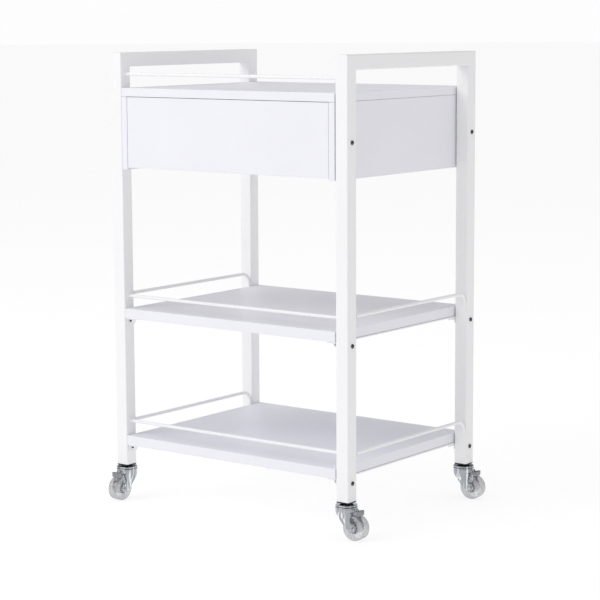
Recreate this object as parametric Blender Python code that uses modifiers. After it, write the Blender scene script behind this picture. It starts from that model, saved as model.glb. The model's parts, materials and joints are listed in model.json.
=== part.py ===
"""Rolling salon trolley: a square-tube frame, a drawer box, two shelves and four swivel casters.

Every piece is its own named object, in metres, with +Z up. The pieces are placed in trolley
coordinates: X runs right from the left frame's outer face, Y runs back from the front faces of
the posts, and Z runs up from the floor. At the end the whole trolley is shifted so that its box
stands centred on the world origin.
"""

import math

import bmesh
import bpy
from mathutils import Matrix, Vector

# Frame
WIDTH = 0.520  # outer face to outer face of the two side frames
DEPTH = 0.390  # front faces to rear faces of the posts
POST_HEIGHT = 0.745  # underside of a post to the top of the handle bar
TUBE = 0.025
TUBE_WALL = 0.0012
TUBE_EDGE = 0.0015
GAP = 0.0003  # left between pieces that touch

# Rods and side wires
WIRE_RADIUS = 0.003
WIRE_BEND = 0.020
WIRE_RISE = 0.0255  # side wire's centre above its shelf
WIRE_DROP = 0.004  # how far the bent end reaches below the shelf's top
WELD = 0.0004  # depth of a welded wire in the tube wall
ROD_SEAT = 0.003  # depth of a rod's end in its post
ROD_CLEARANCE = 0.0003

# Heights above the underside of the posts
LOWER_SHELF_TOP = 0.055
MIDDLE_SHELF_TOP = 0.288
BOX_BOTTOM = 0.5385
BOX_TOP = 0.683
ROD_RISES = {"lower": 0.0255, "middle": 0.022, "top": 0.024}
SHELF_THICKNESS = 0.018
TOP_THICKNESS = 0.015
BOARD_EDGE = 0.0006
BOARD_GAP_LEFT = 0.0004
BOARD_GAP_RIGHT = 0.0016

# Drawer box and drawer
SIDE_THICKNESS = 0.012
BACK_THICKNESS = 0.012
FRONT_THICKNESS = 0.015
FRONT_GAP_LEFT = 0.0010
FRONT_GAP_RIGHT = 0.0005
FRONT_GAP_TOP = 0.0008
FRONT_LIFT = 0.0035  # drawer front's lower edge above the box's lower edge
RUNNER_SPACE = 0.0127
DRAWER_WALL = 0.010
DRAWER_BOTTOM = 0.003
DRAWER_FLOOR_LIFT = 0.010  # drawer bottom's underside above the box's lower edge
DRAWER_SIDE_HEIGHT = 0.088
DRAWER_DEPTH = 0.350
RUNNER_FRONT = 0.020
RUNNER_LENGTH = 0.330
RUNNER_HEIGHT = 0.030
RUNNER_METAL = 0.0012
RUNNER_CHANNEL_DEPTH = 0.0105
RUNNER_TONGUE_HEIGHT = 0.014
RUNNER_PLATE_HEIGHT = 0.022
RUNNER_LIFT = 0.048  # runner's middle above the box's lower edge

# Shelf supports
SUPPORT_WIDTH = 0.020
SUPPORT_METAL = 0.002
SUPPORT_INSET = 0.004
EAR_LENGTH = 0.020  # along the post
EAR_HEIGHT = 0.012
EAR_LIP_LENGTH = 0.039  # of the low lip that runs on from an ear
EAR_LIP_HEIGHT = 0.005

# Screws through the posts
SCREW_RADIUS = 0.002
SCREW_LENGTH = 0.034
SCREW_HEAD_RADIUS = 0.0038
SCREW_HEAD_HEIGHT = 0.0024
SCREW_CLEARANCE = 0.0003
SHELF_SCREW_DROP = 0.0055  # screw's centre below the shelf's underside
BOX_SCREW_HEIGHT = 0.602

# Casters
CASTER_HEIGHT = 0.0645  # floor to the underside of the posts
WHEEL_RADIUS = 0.0215
WHEEL_WIDTH = 0.020
WHEEL_BORE = 0.0033
HUB_RADIUS = 0.0075
HUB_WIDTH = 0.0205
WEB_HALF = 0.004  # half of the thickness between hub and tyre
TYRE_DEPTH = 0.0055
TYRE_SHOULDER = 0.0025
AXLE_RADIUS = 0.003
AXLE_HEAD_RADIUS = 0.0052
AXLE_HEAD_HEIGHT = 0.0018
AXLE_HEAD_EDGE = 0.0005
TRAIL = 0.020
FLANGE_THICKNESS = 0.0019
PLUG_LENGTH = 0.020
STEM_RADIUS = 0.004
STEM_LENGTH = 0.018
COLLAR_RADIUS = 0.0065
PIN_HEAD_HEIGHT = 0.002
RACE_RADIUS = 0.0185
RACE_TOP = -0.0040  # heights below the underside of the posts
RACE_BOTTOM = -0.0080
CROWN_RADIUS = 0.0190
CROWN_TOP = RACE_BOTTOM - GAP
CROWN_BOTTOM = -0.0120
CROWN_EDGE = 0.001
LEG_THICKNESS = 0.0022
LEG_SPACING = 0.0216
BOSS_RADIUS = 0.0070  # a leg's round end about the axle
PEDAL_WIDTH = 0.0186
PEDAL_PIVOT = (-0.0025, 0.0250)  # behind and above the wheel's centre
PEDAL_PIN_RADIUS = 0.0015
ROUND_STEPS = 24
WHEEL_STEPS = 28
SMALL_STEPS = 12

# Swivel angle of each caster's trail, turned about +Z from +X
CASTER_ANGLES = {"front_left": -90.0, "front_right": 0.0, "rear_left": 135.0, "rear_right": 2.0}

LEFT_INNER = TUBE
RIGHT_INNER = WIDTH - TUBE
BOARD_LEFT = LEFT_INNER + BOARD_GAP_LEFT
BOARD_RIGHT = RIGHT_INNER - BOARD_GAP_RIGHT
POST_CENTRES = {"front": TUBE / 2, "rear": DEPTH - TUBE / 2}
SHELF_TOPS = {"lower": LOWER_SHELF_TOP, "middle": MIDDLE_SHELF_TOP}

# Axes that turn a flat outline (u, v) and its thickness into trolley directions
OUTLINE_IN_YZ = Matrix(((0, 0, 1), (1, 0, 0), (0, 1, 0))).to_4x4()
OUTLINE_IN_XZ = Matrix(((1, 0, 0), (0, 0, -1), (0, 1, 0))).to_4x4()
AXIS_ALONG_X = Matrix.Rotation(math.radians(90), 4, "Y")
AXIS_ALONG_Y = Matrix.Rotation(math.radians(90), 4, "X")


def clear_scene():
    """Remove the objects of the scene that the script starts in."""
    for item in list(bpy.data.objects):
        bpy.data.objects.remove(item, do_unlink=True)


def new_collection(name):
    """Make a collection in the scene."""
    collection = bpy.data.collections.new(name)
    bpy.context.scene.collection.children.link(collection)
    return collection


def new_material(name, color, roughness, metallic=0.0, alpha=1.0):
    """Make a Principled material."""
    material = bpy.data.materials.new(name)
    material.use_nodes = True
    shader = material.node_tree.nodes["Principled BSDF"]
    shader.inputs["Base Color"].default_value = (*color, 1.0)
    shader.inputs["Roughness"].default_value = roughness
    shader.inputs["Metallic"].default_value = metallic
    shader.inputs["Alpha"].default_value = alpha
    return material


clear_scene()
PARTS = new_collection("rolling_salon_trolley")
CUTTERS = new_collection("cutters")
BASE = bpy.data.objects.new("trolley_base", None)
PARTS.objects.link(BASE)

POWDER_COAT = new_material("white_powder_coat", (0.90, 0.90, 0.90), 0.42)
WHITE_BOARD = new_material("white_board", (0.87, 0.87, 0.90), 0.50)
DRAWER_BOARD = new_material("drawer_board", (0.84, 0.84, 0.85), 0.55)
RUNNER_STEEL = new_material("runner_steel", (0.62, 0.63, 0.65), 0.35, metallic=1.0)
BLACK_PLASTIC = new_material("black_plastic", (0.02, 0.02, 0.02), 0.45)
ZINC = new_material("zinc_plate", (0.66, 0.69, 0.72), 0.28, metallic=1.0)
CLEAR_WHEEL = new_material("clear_wheel", (0.60, 0.61, 0.64), 0.20, alpha=0.75)
PEDAL_METAL = new_material("pedal_metal", (0.42, 0.43, 0.45), 0.45, metallic=0.8)
SCREW_STEEL = new_material("dark_screw", (0.10, 0.10, 0.11), 0.35, metallic=0.8)


def add_empty(name, location, angle=0.0):
    """Add a joint's empty, turned about +Z by an angle in degrees."""
    empty = bpy.data.objects.new(name, None)
    empty.location = location
    empty.rotation_euler.z = math.radians(angle)
    empty.parent = BASE
    PARTS.objects.link(empty)
    return empty


def add_piece(name, mesh, material, parent=BASE, location=(0, 0, 0), rotation=(0, 0, 0)):
    """Add one piece of the trolley."""
    piece = bpy.data.objects.new(name, mesh)
    if not mesh.materials:
        mesh.materials.append(material)
    piece.location = location
    piece.rotation_euler = rotation
    piece.parent = parent
    PARTS.objects.link(piece)
    return piece


def add_cutter(name, mesh, parent=None):
    """Add a shape that cuts or joins a piece and isn't a piece itself."""
    cutter = bpy.data.objects.new(name, mesh)
    cutter.hide_render = True
    cutter.display_type = "WIRE"
    cutter.parent = parent
    CUTTERS.objects.link(cutter)
    return cutter


def combine(target, tool, operation="DIFFERENCE"):
    """Cut a tool out of a target, or join it on."""
    modifier = target.modifiers.new(tool.name, "BOOLEAN")
    modifier.operation = operation
    modifier.solver = "EXACT"
    modifier.object = tool


def evaluated_mesh(item):
    """Return an object's mesh with its modifiers applied and its doubles merged."""
    bpy.context.view_layer.update()
    depsgraph = bpy.context.evaluated_depsgraph_get()
    mesh = bpy.data.meshes.new_from_object(item.evaluated_get(depsgraph))
    shape = bmesh.new()
    shape.from_mesh(mesh)
    bmesh.ops.remove_doubles(shape, verts=shape.verts, dist=0.000001)
    bmesh.ops.dissolve_limit(shape, angle_limit=0.001, verts=shape.verts, edges=shape.edges)
    shape.to_mesh(mesh)
    shape.free()
    return mesh


def box_mesh(name, low, high, edge=0.0, steps=1):
    """Make a box between two corners, with its edges rounded."""
    low, high = Vector(low), Vector(high)
    shape = bmesh.new()
    place = Matrix.Translation((low + high) / 2) @ Matrix.Diagonal((*(high - low), 1.0))
    bmesh.ops.create_cube(shape, size=1.0, matrix=place)
    if edge:
        bmesh.ops.bevel(
            shape, geom=shape.edges[:], offset=edge, segments=steps, profile=0.5, affect="EDGES"
        )
    mesh = bpy.data.meshes.new(name)
    shape.to_mesh(mesh)
    shape.free()
    return mesh


def add_rods(shape, radius, length, places, axis, steps=SMALL_STEPS):
    """Add cylinders of one size to a shape, centred on each of the places."""
    for place in places:
        bmesh.ops.create_cone(
            shape,
            cap_ends=True,
            segments=steps,
            radius1=radius,
            radius2=radius,
            depth=length,
            matrix=Matrix.Translation(place) @ axis,
        )


def rods_mesh(name, radius, length, places, axis, steps=SMALL_STEPS):
    """Make a mesh of cylinders of one size."""
    shape = bmesh.new()
    add_rods(shape, radius, length, places, axis, steps)
    mesh = bpy.data.meshes.new(name)
    shape.to_mesh(mesh)
    shape.free()
    return mesh


def outline_mesh(name, points, thickness, axes, place=(0, 0, 0)):
    """Make a flat plate from its outline, with its middle plane through a place."""
    curve = bpy.data.curves.new(name, "CURVE")
    curve.dimensions = "2D"
    curve.fill_mode = "BOTH"
    curve.extrude = thickness / 2
    spline = curve.splines.new("POLY")
    spline.points.add(len(points) - 1)
    for point, (u, v) in zip(spline.points, points):
        point.co = (u, v, 0, 1)
    spline.use_cyclic_u = True
    holder = add_cutter(name + "_outline", curve)
    mesh = evaluated_mesh(holder)
    mesh.transform(Matrix.Translation(place) @ axes)
    bpy.data.objects.remove(holder)
    return mesh


def wire_mesh(name, points, radius):
    """Make a round wire along a row of points."""
    curve = bpy.data.curves.new(name, "CURVE")
    curve.dimensions = "3D"
    curve.bevel_depth = radius
    curve.bevel_resolution = 2
    curve.use_fill_caps = True
    spline = curve.splines.new("POLY")
    spline.points.add(len(points) - 1)
    for point, place in zip(spline.points, points):
        point.co = (*place, 1)
    holder = add_cutter(name + "_path", curve)
    mesh = evaluated_mesh(holder)
    bpy.data.objects.remove(holder)
    return mesh


def turned_mesh(name, profile, steps, closed=False):
    """Turn a profile of (radius, height) points about Z; it runs down its outer side."""
    mesh = bpy.data.meshes.new(name)
    edges = [(i, i + 1) for i in range(len(profile) - 1)]
    if closed:
        edges.append((len(profile) - 1, 0))
    mesh.from_pydata([(radius, 0, height) for radius, height in profile], edges, [])
    holder = add_cutter(name + "_profile", mesh)
    screw = holder.modifiers.new("turn", "SCREW")
    screw.steps = steps
    screw.render_steps = steps
    screw.use_merge_vertices = True
    screw.merge_threshold = 0.00001
    turned = evaluated_mesh(holder)
    bpy.data.objects.remove(holder)
    turned.shade_smooth()
    turned.set_sharp_from_angle(angle=math.radians(35))
    return turned


def arc(centre, radius, start, end, steps):
    """Return the points of an arc between two angles in degrees."""
    angles = [math.radians(start + (end - start) * i / steps) for i in range(steps + 1)]
    return [(centre[0] + radius * math.cos(a), centre[1] + radius * math.sin(a)) for a in angles]


def above_posts(height):
    """Turn a height above the underside of the posts into one above the floor."""
    return CASTER_HEIGHT + height


def u_outline(inset, low, high):
    """Outline of an inverted U in (Y, Z), drawn in from the tube's faces by an inset."""
    inner = TUBE - inset
    crown = high - TUBE + inset
    return [
        (inset, low),
        (inner, low),
        (inner, crown),
        (DEPTH - inner, crown),
        (DEPTH - inner, low),
        (DEPTH - inset, low),
        (DEPTH - inset, high - inset),
        (inset, high - inset),
    ]


def round_tube_edges(mesh, open_height):
    """Round a frame's long edges and leave its open lower ends square."""
    shape = bmesh.new()
    shape.from_mesh(mesh)
    edges = []
    for edge in shape.edges:
        at_end = all(abs(vert.co.z - open_height) < GAP for vert in edge.verts)
        if not at_end and edge.calc_face_angle(0.0) > math.radians(30):
            edges.append(edge)
    bmesh.ops.bevel(shape, geom=edges, offset=TUBE_EDGE, segments=2, profile=0.5, affect="EDGES")
    shape.to_mesh(mesh)
    shape.free()


def screw_heights():
    """Heights above the posts' underside of the screws at the three levels."""
    heights = {level: top - SHELF_THICKNESS - SHELF_SCREW_DROP for level, top in SHELF_TOPS.items()}
    heights["top"] = BOX_SCREW_HEIGHT
    return heights


def rod_heights():
    """Heights above the posts' underside of the front rods at the three levels."""
    heights = {level: top + ROD_RISES[level] for level, top in SHELF_TOPS.items()}
    heights["top"] = BOX_TOP + ROD_RISES["top"]
    return heights


def side_wire_points(x, shelf_top):
    """Points of a side wire: straight back over its shelf, then bent down at the rear post."""
    height = above_posts(shelf_top + WIRE_RISE)
    leg_y = DEPTH - TUBE - WIRE_RADIUS + WELD
    bend = arc((leg_y - WIRE_BEND, height - WIRE_BEND), WIRE_BEND, 90, 0, 6)
    points = [(x, TUBE - WELD, height)]
    points += [(x, y, z) for y, z in bend]
    points.append((x, leg_y, above_posts(shelf_top - WIRE_DROP)))
    return points


def add_side_frame(side, x_outer, x_wire, x_inner_wall):
    """Add one welded side frame: two posts, the handle bar over them and two side wires."""
    low, high = above_posts(0.0), above_posts(POST_HEIGHT)
    x_middle = x_outer + TUBE / 2
    name = side + "_side_frame"
    mesh = outline_mesh(name, u_outline(0.0, low, high), TUBE, OUTLINE_IN_YZ, (x_middle, 0, 0))
    round_tube_edges(mesh, low)
    frame = add_piece(name, mesh, POWDER_COAT)

    bore = u_outline(TUBE_WALL, low - TUBE, high)
    width = TUBE - 2 * TUBE_WALL
    bore_mesh = outline_mesh(name + "_bore", bore, width, OUTLINE_IN_YZ, (x_middle, 0, 0))
    combine(frame, add_cutter(name + "_bore", bore_mesh, BASE))

    places = [
        (x_middle, y, above_posts(z)) for y in POST_CENTRES.values() for z in screw_heights().values()
    ]
    holes = bmesh.new()
    add_rods(holes, SCREW_RADIUS + SCREW_CLEARANCE, 2 * TUBE, places, AXIS_ALONG_X)
    seats = [(x_inner_wall, POST_CENTRES["front"], above_posts(z)) for z in rod_heights().values()]
    add_rods(holes, WIRE_RADIUS + ROD_CLEARANCE, 4 * TUBE_WALL, seats, AXIS_ALONG_X)
    holes_mesh = bpy.data.meshes.new(name + "_holes")
    holes.to_mesh(holes_mesh)
    holes.free()
    combine(frame, add_cutter(name + "_holes", holes_mesh, BASE))

    for level, shelf_top in SHELF_TOPS.items():
        wire_name = f"{side}_{level}_wire"
        wire = wire_mesh(wire_name, side_wire_points(x_wire, shelf_top), WIRE_RADIUS)
        combine(frame, add_cutter(wire_name, wire, BASE), "UNION")


def add_front_rods():
    """Add the straight rod between the front posts at each level, its ends in the posts."""
    reach = TUBE_WALL + ROD_SEAT
    length = RIGHT_INNER - LEFT_INNER + 2 * reach
    for level, height in rod_heights().items():
        mesh = rods_mesh(f"{level}_front_rod", WIRE_RADIUS, length, [(0, 0, 0)], AXIS_ALONG_X)
        mesh.shade_smooth()
        mesh.set_sharp_from_angle(angle=math.radians(35))
        place = (WIDTH / 2, POST_CENTRES["front"], above_posts(height))
        add_piece(f"{level}_front_rod", mesh, POWDER_COAT, location=place)


def add_boards():
    """Add the top board and the two shelves."""
    levels = {"top_board": (BOX_TOP, TOP_THICKNESS)}
    levels.update({level + "_shelf": (top, SHELF_THICKNESS) for level, top in SHELF_TOPS.items()})
    for name, (top, thickness) in levels.items():
        low = (BOARD_LEFT, 0, above_posts(top - thickness))
        high = (BOARD_RIGHT, DEPTH, above_posts(top))
        add_piece(name, box_mesh(name, low, high, BOARD_EDGE), WHITE_BOARD)


def add_box_panels():
    """Add the drawer box's two sides, with their screw holes, and its back."""
    low_z = above_posts(BOX_BOTTOM)
    high_z = above_posts(BOX_TOP - TOP_THICKNESS) - GAP
    spans = {
        "left": (BOARD_LEFT, BOARD_LEFT + SIDE_THICKNESS, LEFT_INNER),
        "right": (BOARD_RIGHT - SIDE_THICKNESS, BOARD_RIGHT, RIGHT_INNER),
    }
    for side, (x_low, x_high, x_post) in spans.items():
        name = f"box_{side}_side"
        mesh = box_mesh(name, (x_low, 0, low_z), (x_high, DEPTH, high_z), BOARD_EDGE)
        panel = add_piece(name, mesh, WHITE_BOARD)
        places = [(x_post, y, above_posts(BOX_SCREW_HEIGHT)) for y in POST_CENTRES.values()]
        depth = 2 * (SCREW_LENGTH - TUBE + GAP)
        holes = rods_mesh(name + "_holes", SCREW_RADIUS + SCREW_CLEARANCE, depth, places, AXIS_ALONG_X)
        combine(panel, add_cutter(name + "_holes", holes, BASE))
    low = (BOARD_LEFT + SIDE_THICKNESS + GAP, DEPTH - BACK_THICKNESS, low_z)
    high = (BOARD_RIGHT - SIDE_THICKNESS - GAP, DEPTH, high_z)
    add_piece("box_back", box_mesh("box_back", low, high, BOARD_EDGE), WHITE_BOARD)


def ear_outline(along):
    """Outline of a turned-down ear: full height behind its post, then a low lip beyond it."""
    root = -SUPPORT_METAL / 2
    points = [
        (0, -EAR_HEIGHT),
        (along * EAR_LENGTH, -EAR_HEIGHT),
        (along * EAR_LENGTH, -EAR_LIP_HEIGHT),
        (along * EAR_LIP_LENGTH, -EAR_LIP_HEIGHT),
        (along * EAR_LIP_LENGTH, root),
        (0, root),
    ]
    return points[::along]


def add_shelf_supports():
    """Add the steel strip under each shelf's end, with an ear turned down at each post."""
    for level, top in SHELF_TOPS.items():
        high_z = above_posts(top - SHELF_THICKNESS) - GAP
        for side, x_post, inward in (("left", LEFT_INNER, 1), ("right", RIGHT_INNER, -1)):
            name = f"{level}_shelf_{side}_support"
            x_face = x_post + inward * GAP
            x_ends = sorted((x_face, x_face + inward * SUPPORT_WIDTH))
            low = (x_ends[0], SUPPORT_INSET, high_z - SUPPORT_METAL)
            high = (x_ends[1], DEPTH - SUPPORT_INSET, high_z)
            strip = add_piece(name, box_mesh(name, low, high), POWDER_COAT)
            ear_middle = x_face + inward * SUPPORT_METAL / 2
            for end, y, along in (("front", SUPPORT_INSET, 1), ("rear", DEPTH - SUPPORT_INSET, -1)):
                outline = ear_outline(along)
                ear = outline_mesh(
                    f"{name}_{end}_ear", outline, SUPPORT_METAL, OUTLINE_IN_YZ, (ear_middle, y, high_z)
                )
                combine(strip, add_cutter(f"{name}_{end}_ear", ear, BASE), "UNION")
            screw_z = above_posts(screw_heights()[level])
            places = [(x_post, y, screw_z) for y in POST_CENTRES.values()]
            radius = SCREW_RADIUS + SCREW_CLEARANCE
            holes = rods_mesh(name + "_holes", radius, 4 * EAR_HEIGHT, places, AXIS_ALONG_X)
            combine(strip, add_cutter(name + "_holes", holes, BASE))


def add_post_screws():
    """Add the screw through each post at each level: a low round head on a straight shank."""
    neck = SCREW_HEAD_HEIGHT * 0.35
    profile = [
        (0, SCREW_HEAD_HEIGHT),
        (SCREW_HEAD_RADIUS * 0.62, SCREW_HEAD_HEIGHT),
        (SCREW_HEAD_RADIUS * 0.92, SCREW_HEAD_HEIGHT * 0.72),
        (SCREW_HEAD_RADIUS, neck),
        (SCREW_HEAD_RADIUS, 0),
        (SCREW_RADIUS, 0),
        (SCREW_RADIUS, -SCREW_LENGTH + SCREW_RADIUS),
        (SCREW_RADIUS * 0.5, -SCREW_LENGTH),
        (0, -SCREW_LENGTH),
    ]
    mesh = turned_mesh("post_screw", profile, SMALL_STEPS)
    for level, height in screw_heights().items():
        for end, y in POST_CENTRES.items():
            for side, x, turn in (("left", -GAP, -90), ("right", WIDTH + GAP, 90)):
                add_piece(
                    f"{end}_{side}_{level}_screw",
                    mesh,
                    SCREW_STEEL,
                    location=(x, y, above_posts(height)),
                    rotation=(0, math.radians(turn), 0),
                )


def drawer_spans():
    """Outer faces in X of the drawer's two sides."""
    inner_left = BOARD_LEFT + SIDE_THICKNESS
    inner_right = BOARD_RIGHT - SIDE_THICKNESS
    return inner_left + RUNNER_SPACE, inner_right - RUNNER_SPACE


def add_drawer():
    """Add the drawer: its front, two sides, back and bottom, on one sliding empty."""
    slide = add_empty("drawer_slide_axis", (WIDTH / 2, 0, above_posts(BOX_BOTTOM)))
    x_left, x_right = drawer_spans()
    shift = -slide.location
    bottom_z = above_posts(BOX_BOTTOM + DRAWER_FLOOR_LIFT)
    floor_z = bottom_z + DRAWER_BOTTOM + GAP
    top_z = floor_z + DRAWER_SIDE_HEIGHT
    front_y = FRONT_THICKNESS + GAP
    back_y = front_y + DRAWER_DEPTH
    spans = {
        "drawer_front": (
            (BOARD_LEFT + SIDE_THICKNESS + FRONT_GAP_LEFT, 0, above_posts(BOX_BOTTOM + FRONT_LIFT)),
            (
                BOARD_RIGHT - SIDE_THICKNESS - FRONT_GAP_RIGHT,
                FRONT_THICKNESS,
                above_posts(BOX_TOP - TOP_THICKNESS - FRONT_GAP_TOP),
            ),
        ),
        "drawer_left_side": ((x_left, front_y, floor_z), (x_left + DRAWER_WALL, back_y, top_z)),
        "drawer_right_side": ((x_right - DRAWER_WALL, front_y, floor_z), (x_right, back_y, top_z)),
        "drawer_back": (
            (x_left + DRAWER_WALL + GAP, back_y - DRAWER_WALL, floor_z),
            (x_right - DRAWER_WALL - GAP, back_y, top_z),
        ),
        "drawer_bottom": ((x_left, front_y, bottom_z), (x_right, back_y, floor_z - GAP)),
    }
    for name, (low, high) in spans.items():
        mesh = box_mesh(name, Vector(low) + shift, Vector(high) + shift, BOARD_EDGE)
        material = WHITE_BOARD if name == "drawer_front" else DRAWER_BOARD
        add_piece(name, mesh, material, parent=slide)
    add_runners(slide)


def add_runners(slide):
    """Add a channel on each side of the box and the tongue that slides in it on the drawer."""
    x_left, x_right = drawer_spans()
    middle_z = above_posts(BOX_BOTTOM + RUNNER_LIFT)
    middle_y = RUNNER_FRONT + RUNNER_LENGTH / 2
    half = RUNNER_HEIGHT / 2
    wall = RUNNER_METAL
    channel = [
        (0, -half),
        (RUNNER_CHANNEL_DEPTH, -half),
        (RUNNER_CHANNEL_DEPTH, -half + wall),
        (wall, -half + wall),
        (wall, half - wall),
        (RUNNER_CHANNEL_DEPTH, half - wall),
        (RUNNER_CHANNEL_DEPTH, half),
        (0, half),
    ]
    tongue_tip = RUNNER_SPACE - 2 * wall - 2 * GAP
    tongue_half = RUNNER_TONGUE_HEIGHT / 2
    plate_half = RUNNER_PLATE_HEIGHT / 2
    tongue = [
        (0, -plate_half),
        (wall, -plate_half),
        (wall, -tongue_half),
        (tongue_tip, -tongue_half),
        (tongue_tip, tongue_half),
        (wall, tongue_half),
        (wall, plate_half),
        (0, plate_half),
    ]
    for side, wall_x, drawer_x, inward in (
        ("left", BOARD_LEFT + SIDE_THICKNESS + GAP, x_left - GAP, 1),
        ("right", BOARD_RIGHT - SIDE_THICKNESS - GAP, x_right + GAP, -1),
    ):
        fixed = [(inward * u, v) for u, v in channel]
        name = f"box_{side}_runner"
        place = (wall_x, middle_y, middle_z)
        mesh = outline_mesh(name, fixed, RUNNER_LENGTH, OUTLINE_IN_XZ, place)
        add_piece(name, mesh, RUNNER_STEEL)
        moving = [(-inward * u, v) for u, v in tongue]
        name = f"drawer_{side}_runner"
        place = Vector((drawer_x, middle_y, middle_z)) - slide.location
        mesh = outline_mesh(name, moving, RUNNER_LENGTH, OUTLINE_IN_XZ, place)
        add_piece(name, mesh, RUNNER_STEEL, parent=slide)


def plug_mesh():
    """Make a post's end plug: a flange, a square body up the tube and a bore for the stem."""
    half = TUBE / 2
    body = half - TUBE_WALL - GAP
    flange = box_mesh("plug_flange", (-half, -half, -FLANGE_THICKNESS - GAP), (half, half, -GAP))
    holder = add_cutter("plug_shape", flange)
    body_mesh = box_mesh("plug_body", (-body, -body, -FLANGE_THICKNESS), (body, body, PLUG_LENGTH))
    body_tool = add_cutter("plug_body", body_mesh)
    combine(holder, body_tool, "UNION")
    bore_mesh = rods_mesh(
        "plug_bore", STEM_RADIUS + GAP, 4 * PLUG_LENGTH, [(0, 0, 0)], Matrix()
    )
    bore_tool = add_cutter("plug_bore", bore_mesh)
    combine(holder, bore_tool)
    mesh = evaluated_mesh(holder)
    for tool in (holder, body_tool, bore_tool):
        bpy.data.objects.remove(tool)
    return mesh


def stem_mesh():
    """Make a caster's stem: a shank, a collar, the upper race and the king pin's head."""
    collar_top = -FLANGE_THICKNESS - 2 * GAP
    head_top = CROWN_BOTTOM - GAP
    head_low = head_top - PIN_HEAD_HEIGHT
    chamfer = STEM_RADIUS / 4
    profile = [(0, STEM_LENGTH), (STEM_RADIUS - chamfer, STEM_LENGTH), (STEM_RADIUS, STEM_LENGTH - chamfer)]
    profile += [(STEM_RADIUS, collar_top), (COLLAR_RADIUS, collar_top), (COLLAR_RADIUS, RACE_TOP)]
    rim = (RACE_TOP - RACE_BOTTOM) / 2
    rim_centre = (RACE_RADIUS - rim, (RACE_TOP + RACE_BOTTOM) / 2)
    profile += arc(rim_centre, rim, 90, -90, 4)
    profile += [(STEM_RADIUS, RACE_BOTTOM), (STEM_RADIUS, head_top), (COLLAR_RADIUS, head_top)]
    profile += [(COLLAR_RADIUS - chamfer, head_low), (0, head_low)]
    return turned_mesh("caster_stem", profile, ROUND_STEPS)


def leg_outline():
    """Outline of a fork leg about the wheel's centre: wide at the crown, round at the axle."""
    crown = CASTER_HEIGHT + CROWN_BOTTOM - WHEEL_RADIUS + CROWN_EDGE
    front = [(-0.0340, crown), (-0.0325, 0.0275), (-0.0255, 0.0155), (-0.0185, 0.0045)]
    boss = arc((0, 0), BOSS_RADIUS, 245, 375, 6)
    rear = [(0.0042, 0.0080), (0.0032, 0.0145), (0.0035, 0.0235), (0.0010, 0.0280), (-0.0060, crown)]
    return front + boss + rear


def fork_mesh():
    """Make a caster's fork about its swivel axis: a crown plate and two legs to the axle."""
    axle_z = WHEEL_RADIUS - CASTER_HEIGHT
    crown_profile = [
        (STEM_RADIUS + GAP, CROWN_TOP),
        (CROWN_RADIUS - CROWN_EDGE, CROWN_TOP),
        (CROWN_RADIUS, CROWN_TOP - CROWN_EDGE),
        (CROWN_RADIUS, CROWN_BOTTOM + CROWN_EDGE),
        (CROWN_RADIUS - CROWN_EDGE, CROWN_BOTTOM),
        (STEM_RADIUS + GAP, CROWN_BOTTOM),
    ]
    holder = add_cutter("fork_shape", turned_mesh("caster_fork", crown_profile, ROUND_STEPS, True))
    tools = []
    for side in (-1, 1):
        place = (TRAIL, side * (LEG_SPACING + LEG_THICKNESS) / 2, axle_z)
        leg = outline_mesh("fork_leg", leg_outline(), LEG_THICKNESS, OUTLINE_IN_XZ, place)
        tools.append(add_cutter("fork_leg", leg))
        combine(holder, tools[-1], "UNION")
    holes = bmesh.new()
    reach = 2 * LEG_SPACING
    add_rods(holes, AXLE_RADIUS + GAP, reach, [(TRAIL, 0, axle_z)], AXIS_ALONG_Y)
    pivot = (TRAIL + PEDAL_PIVOT[0], 0, axle_z + PEDAL_PIVOT[1])
    add_rods(holes, PEDAL_PIN_RADIUS + GAP, reach, [pivot], AXIS_ALONG_Y)
    holes_mesh = bpy.data.meshes.new("fork_holes")
    holes.to_mesh(holes_mesh)
    holes.free()
    tools.append(add_cutter("fork_holes", holes_mesh))
    combine(holder, tools[-1])
    mesh = evaluated_mesh(holder)
    for tool in [holder] + tools:
        bpy.data.objects.remove(tool)
    mesh.set_sharp_from_angle(angle=math.radians(35))
    return mesh


def axle_mesh():
    """Make a wheel's axle: a pin with a flat head outside each leg."""
    inner = LEG_SPACING / 2 + LEG_THICKNESS + GAP
    outer = inner + AXLE_HEAD_HEIGHT
    upper = [
        (0, outer),
        (AXLE_HEAD_RADIUS - AXLE_HEAD_EDGE, outer),
        (AXLE_HEAD_RADIUS, outer - AXLE_HEAD_EDGE),
        (AXLE_HEAD_RADIUS, inner),
        (AXLE_RADIUS, inner),
    ]
    lower = [(radius, -height) for radius, height in reversed(upper)]
    return turned_mesh("caster_axle", upper + lower, SMALL_STEPS)


def wheel_mesh():
    """Make a wheel: a rounded tyre, a thinner web and a hub with its bore."""
    half, hub_half = WHEEL_WIDTH / 2, HUB_WIDTH / 2
    tyre_inner = WHEEL_RADIUS - TYRE_DEPTH
    upper = [(WHEEL_BORE, hub_half), (HUB_RADIUS, hub_half), (HUB_RADIUS, WEB_HALF)]
    upper += [(tyre_inner, WEB_HALF), (tyre_inner, half)]
    upper += arc((WHEEL_RADIUS - TYRE_SHOULDER, half - TYRE_SHOULDER), TYRE_SHOULDER, 90, 0, 2)
    lower = [(radius, -height) for radius, height in reversed(upper)]
    return turned_mesh("caster_wheel", upper + lower, WHEEL_STEPS, True)


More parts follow.
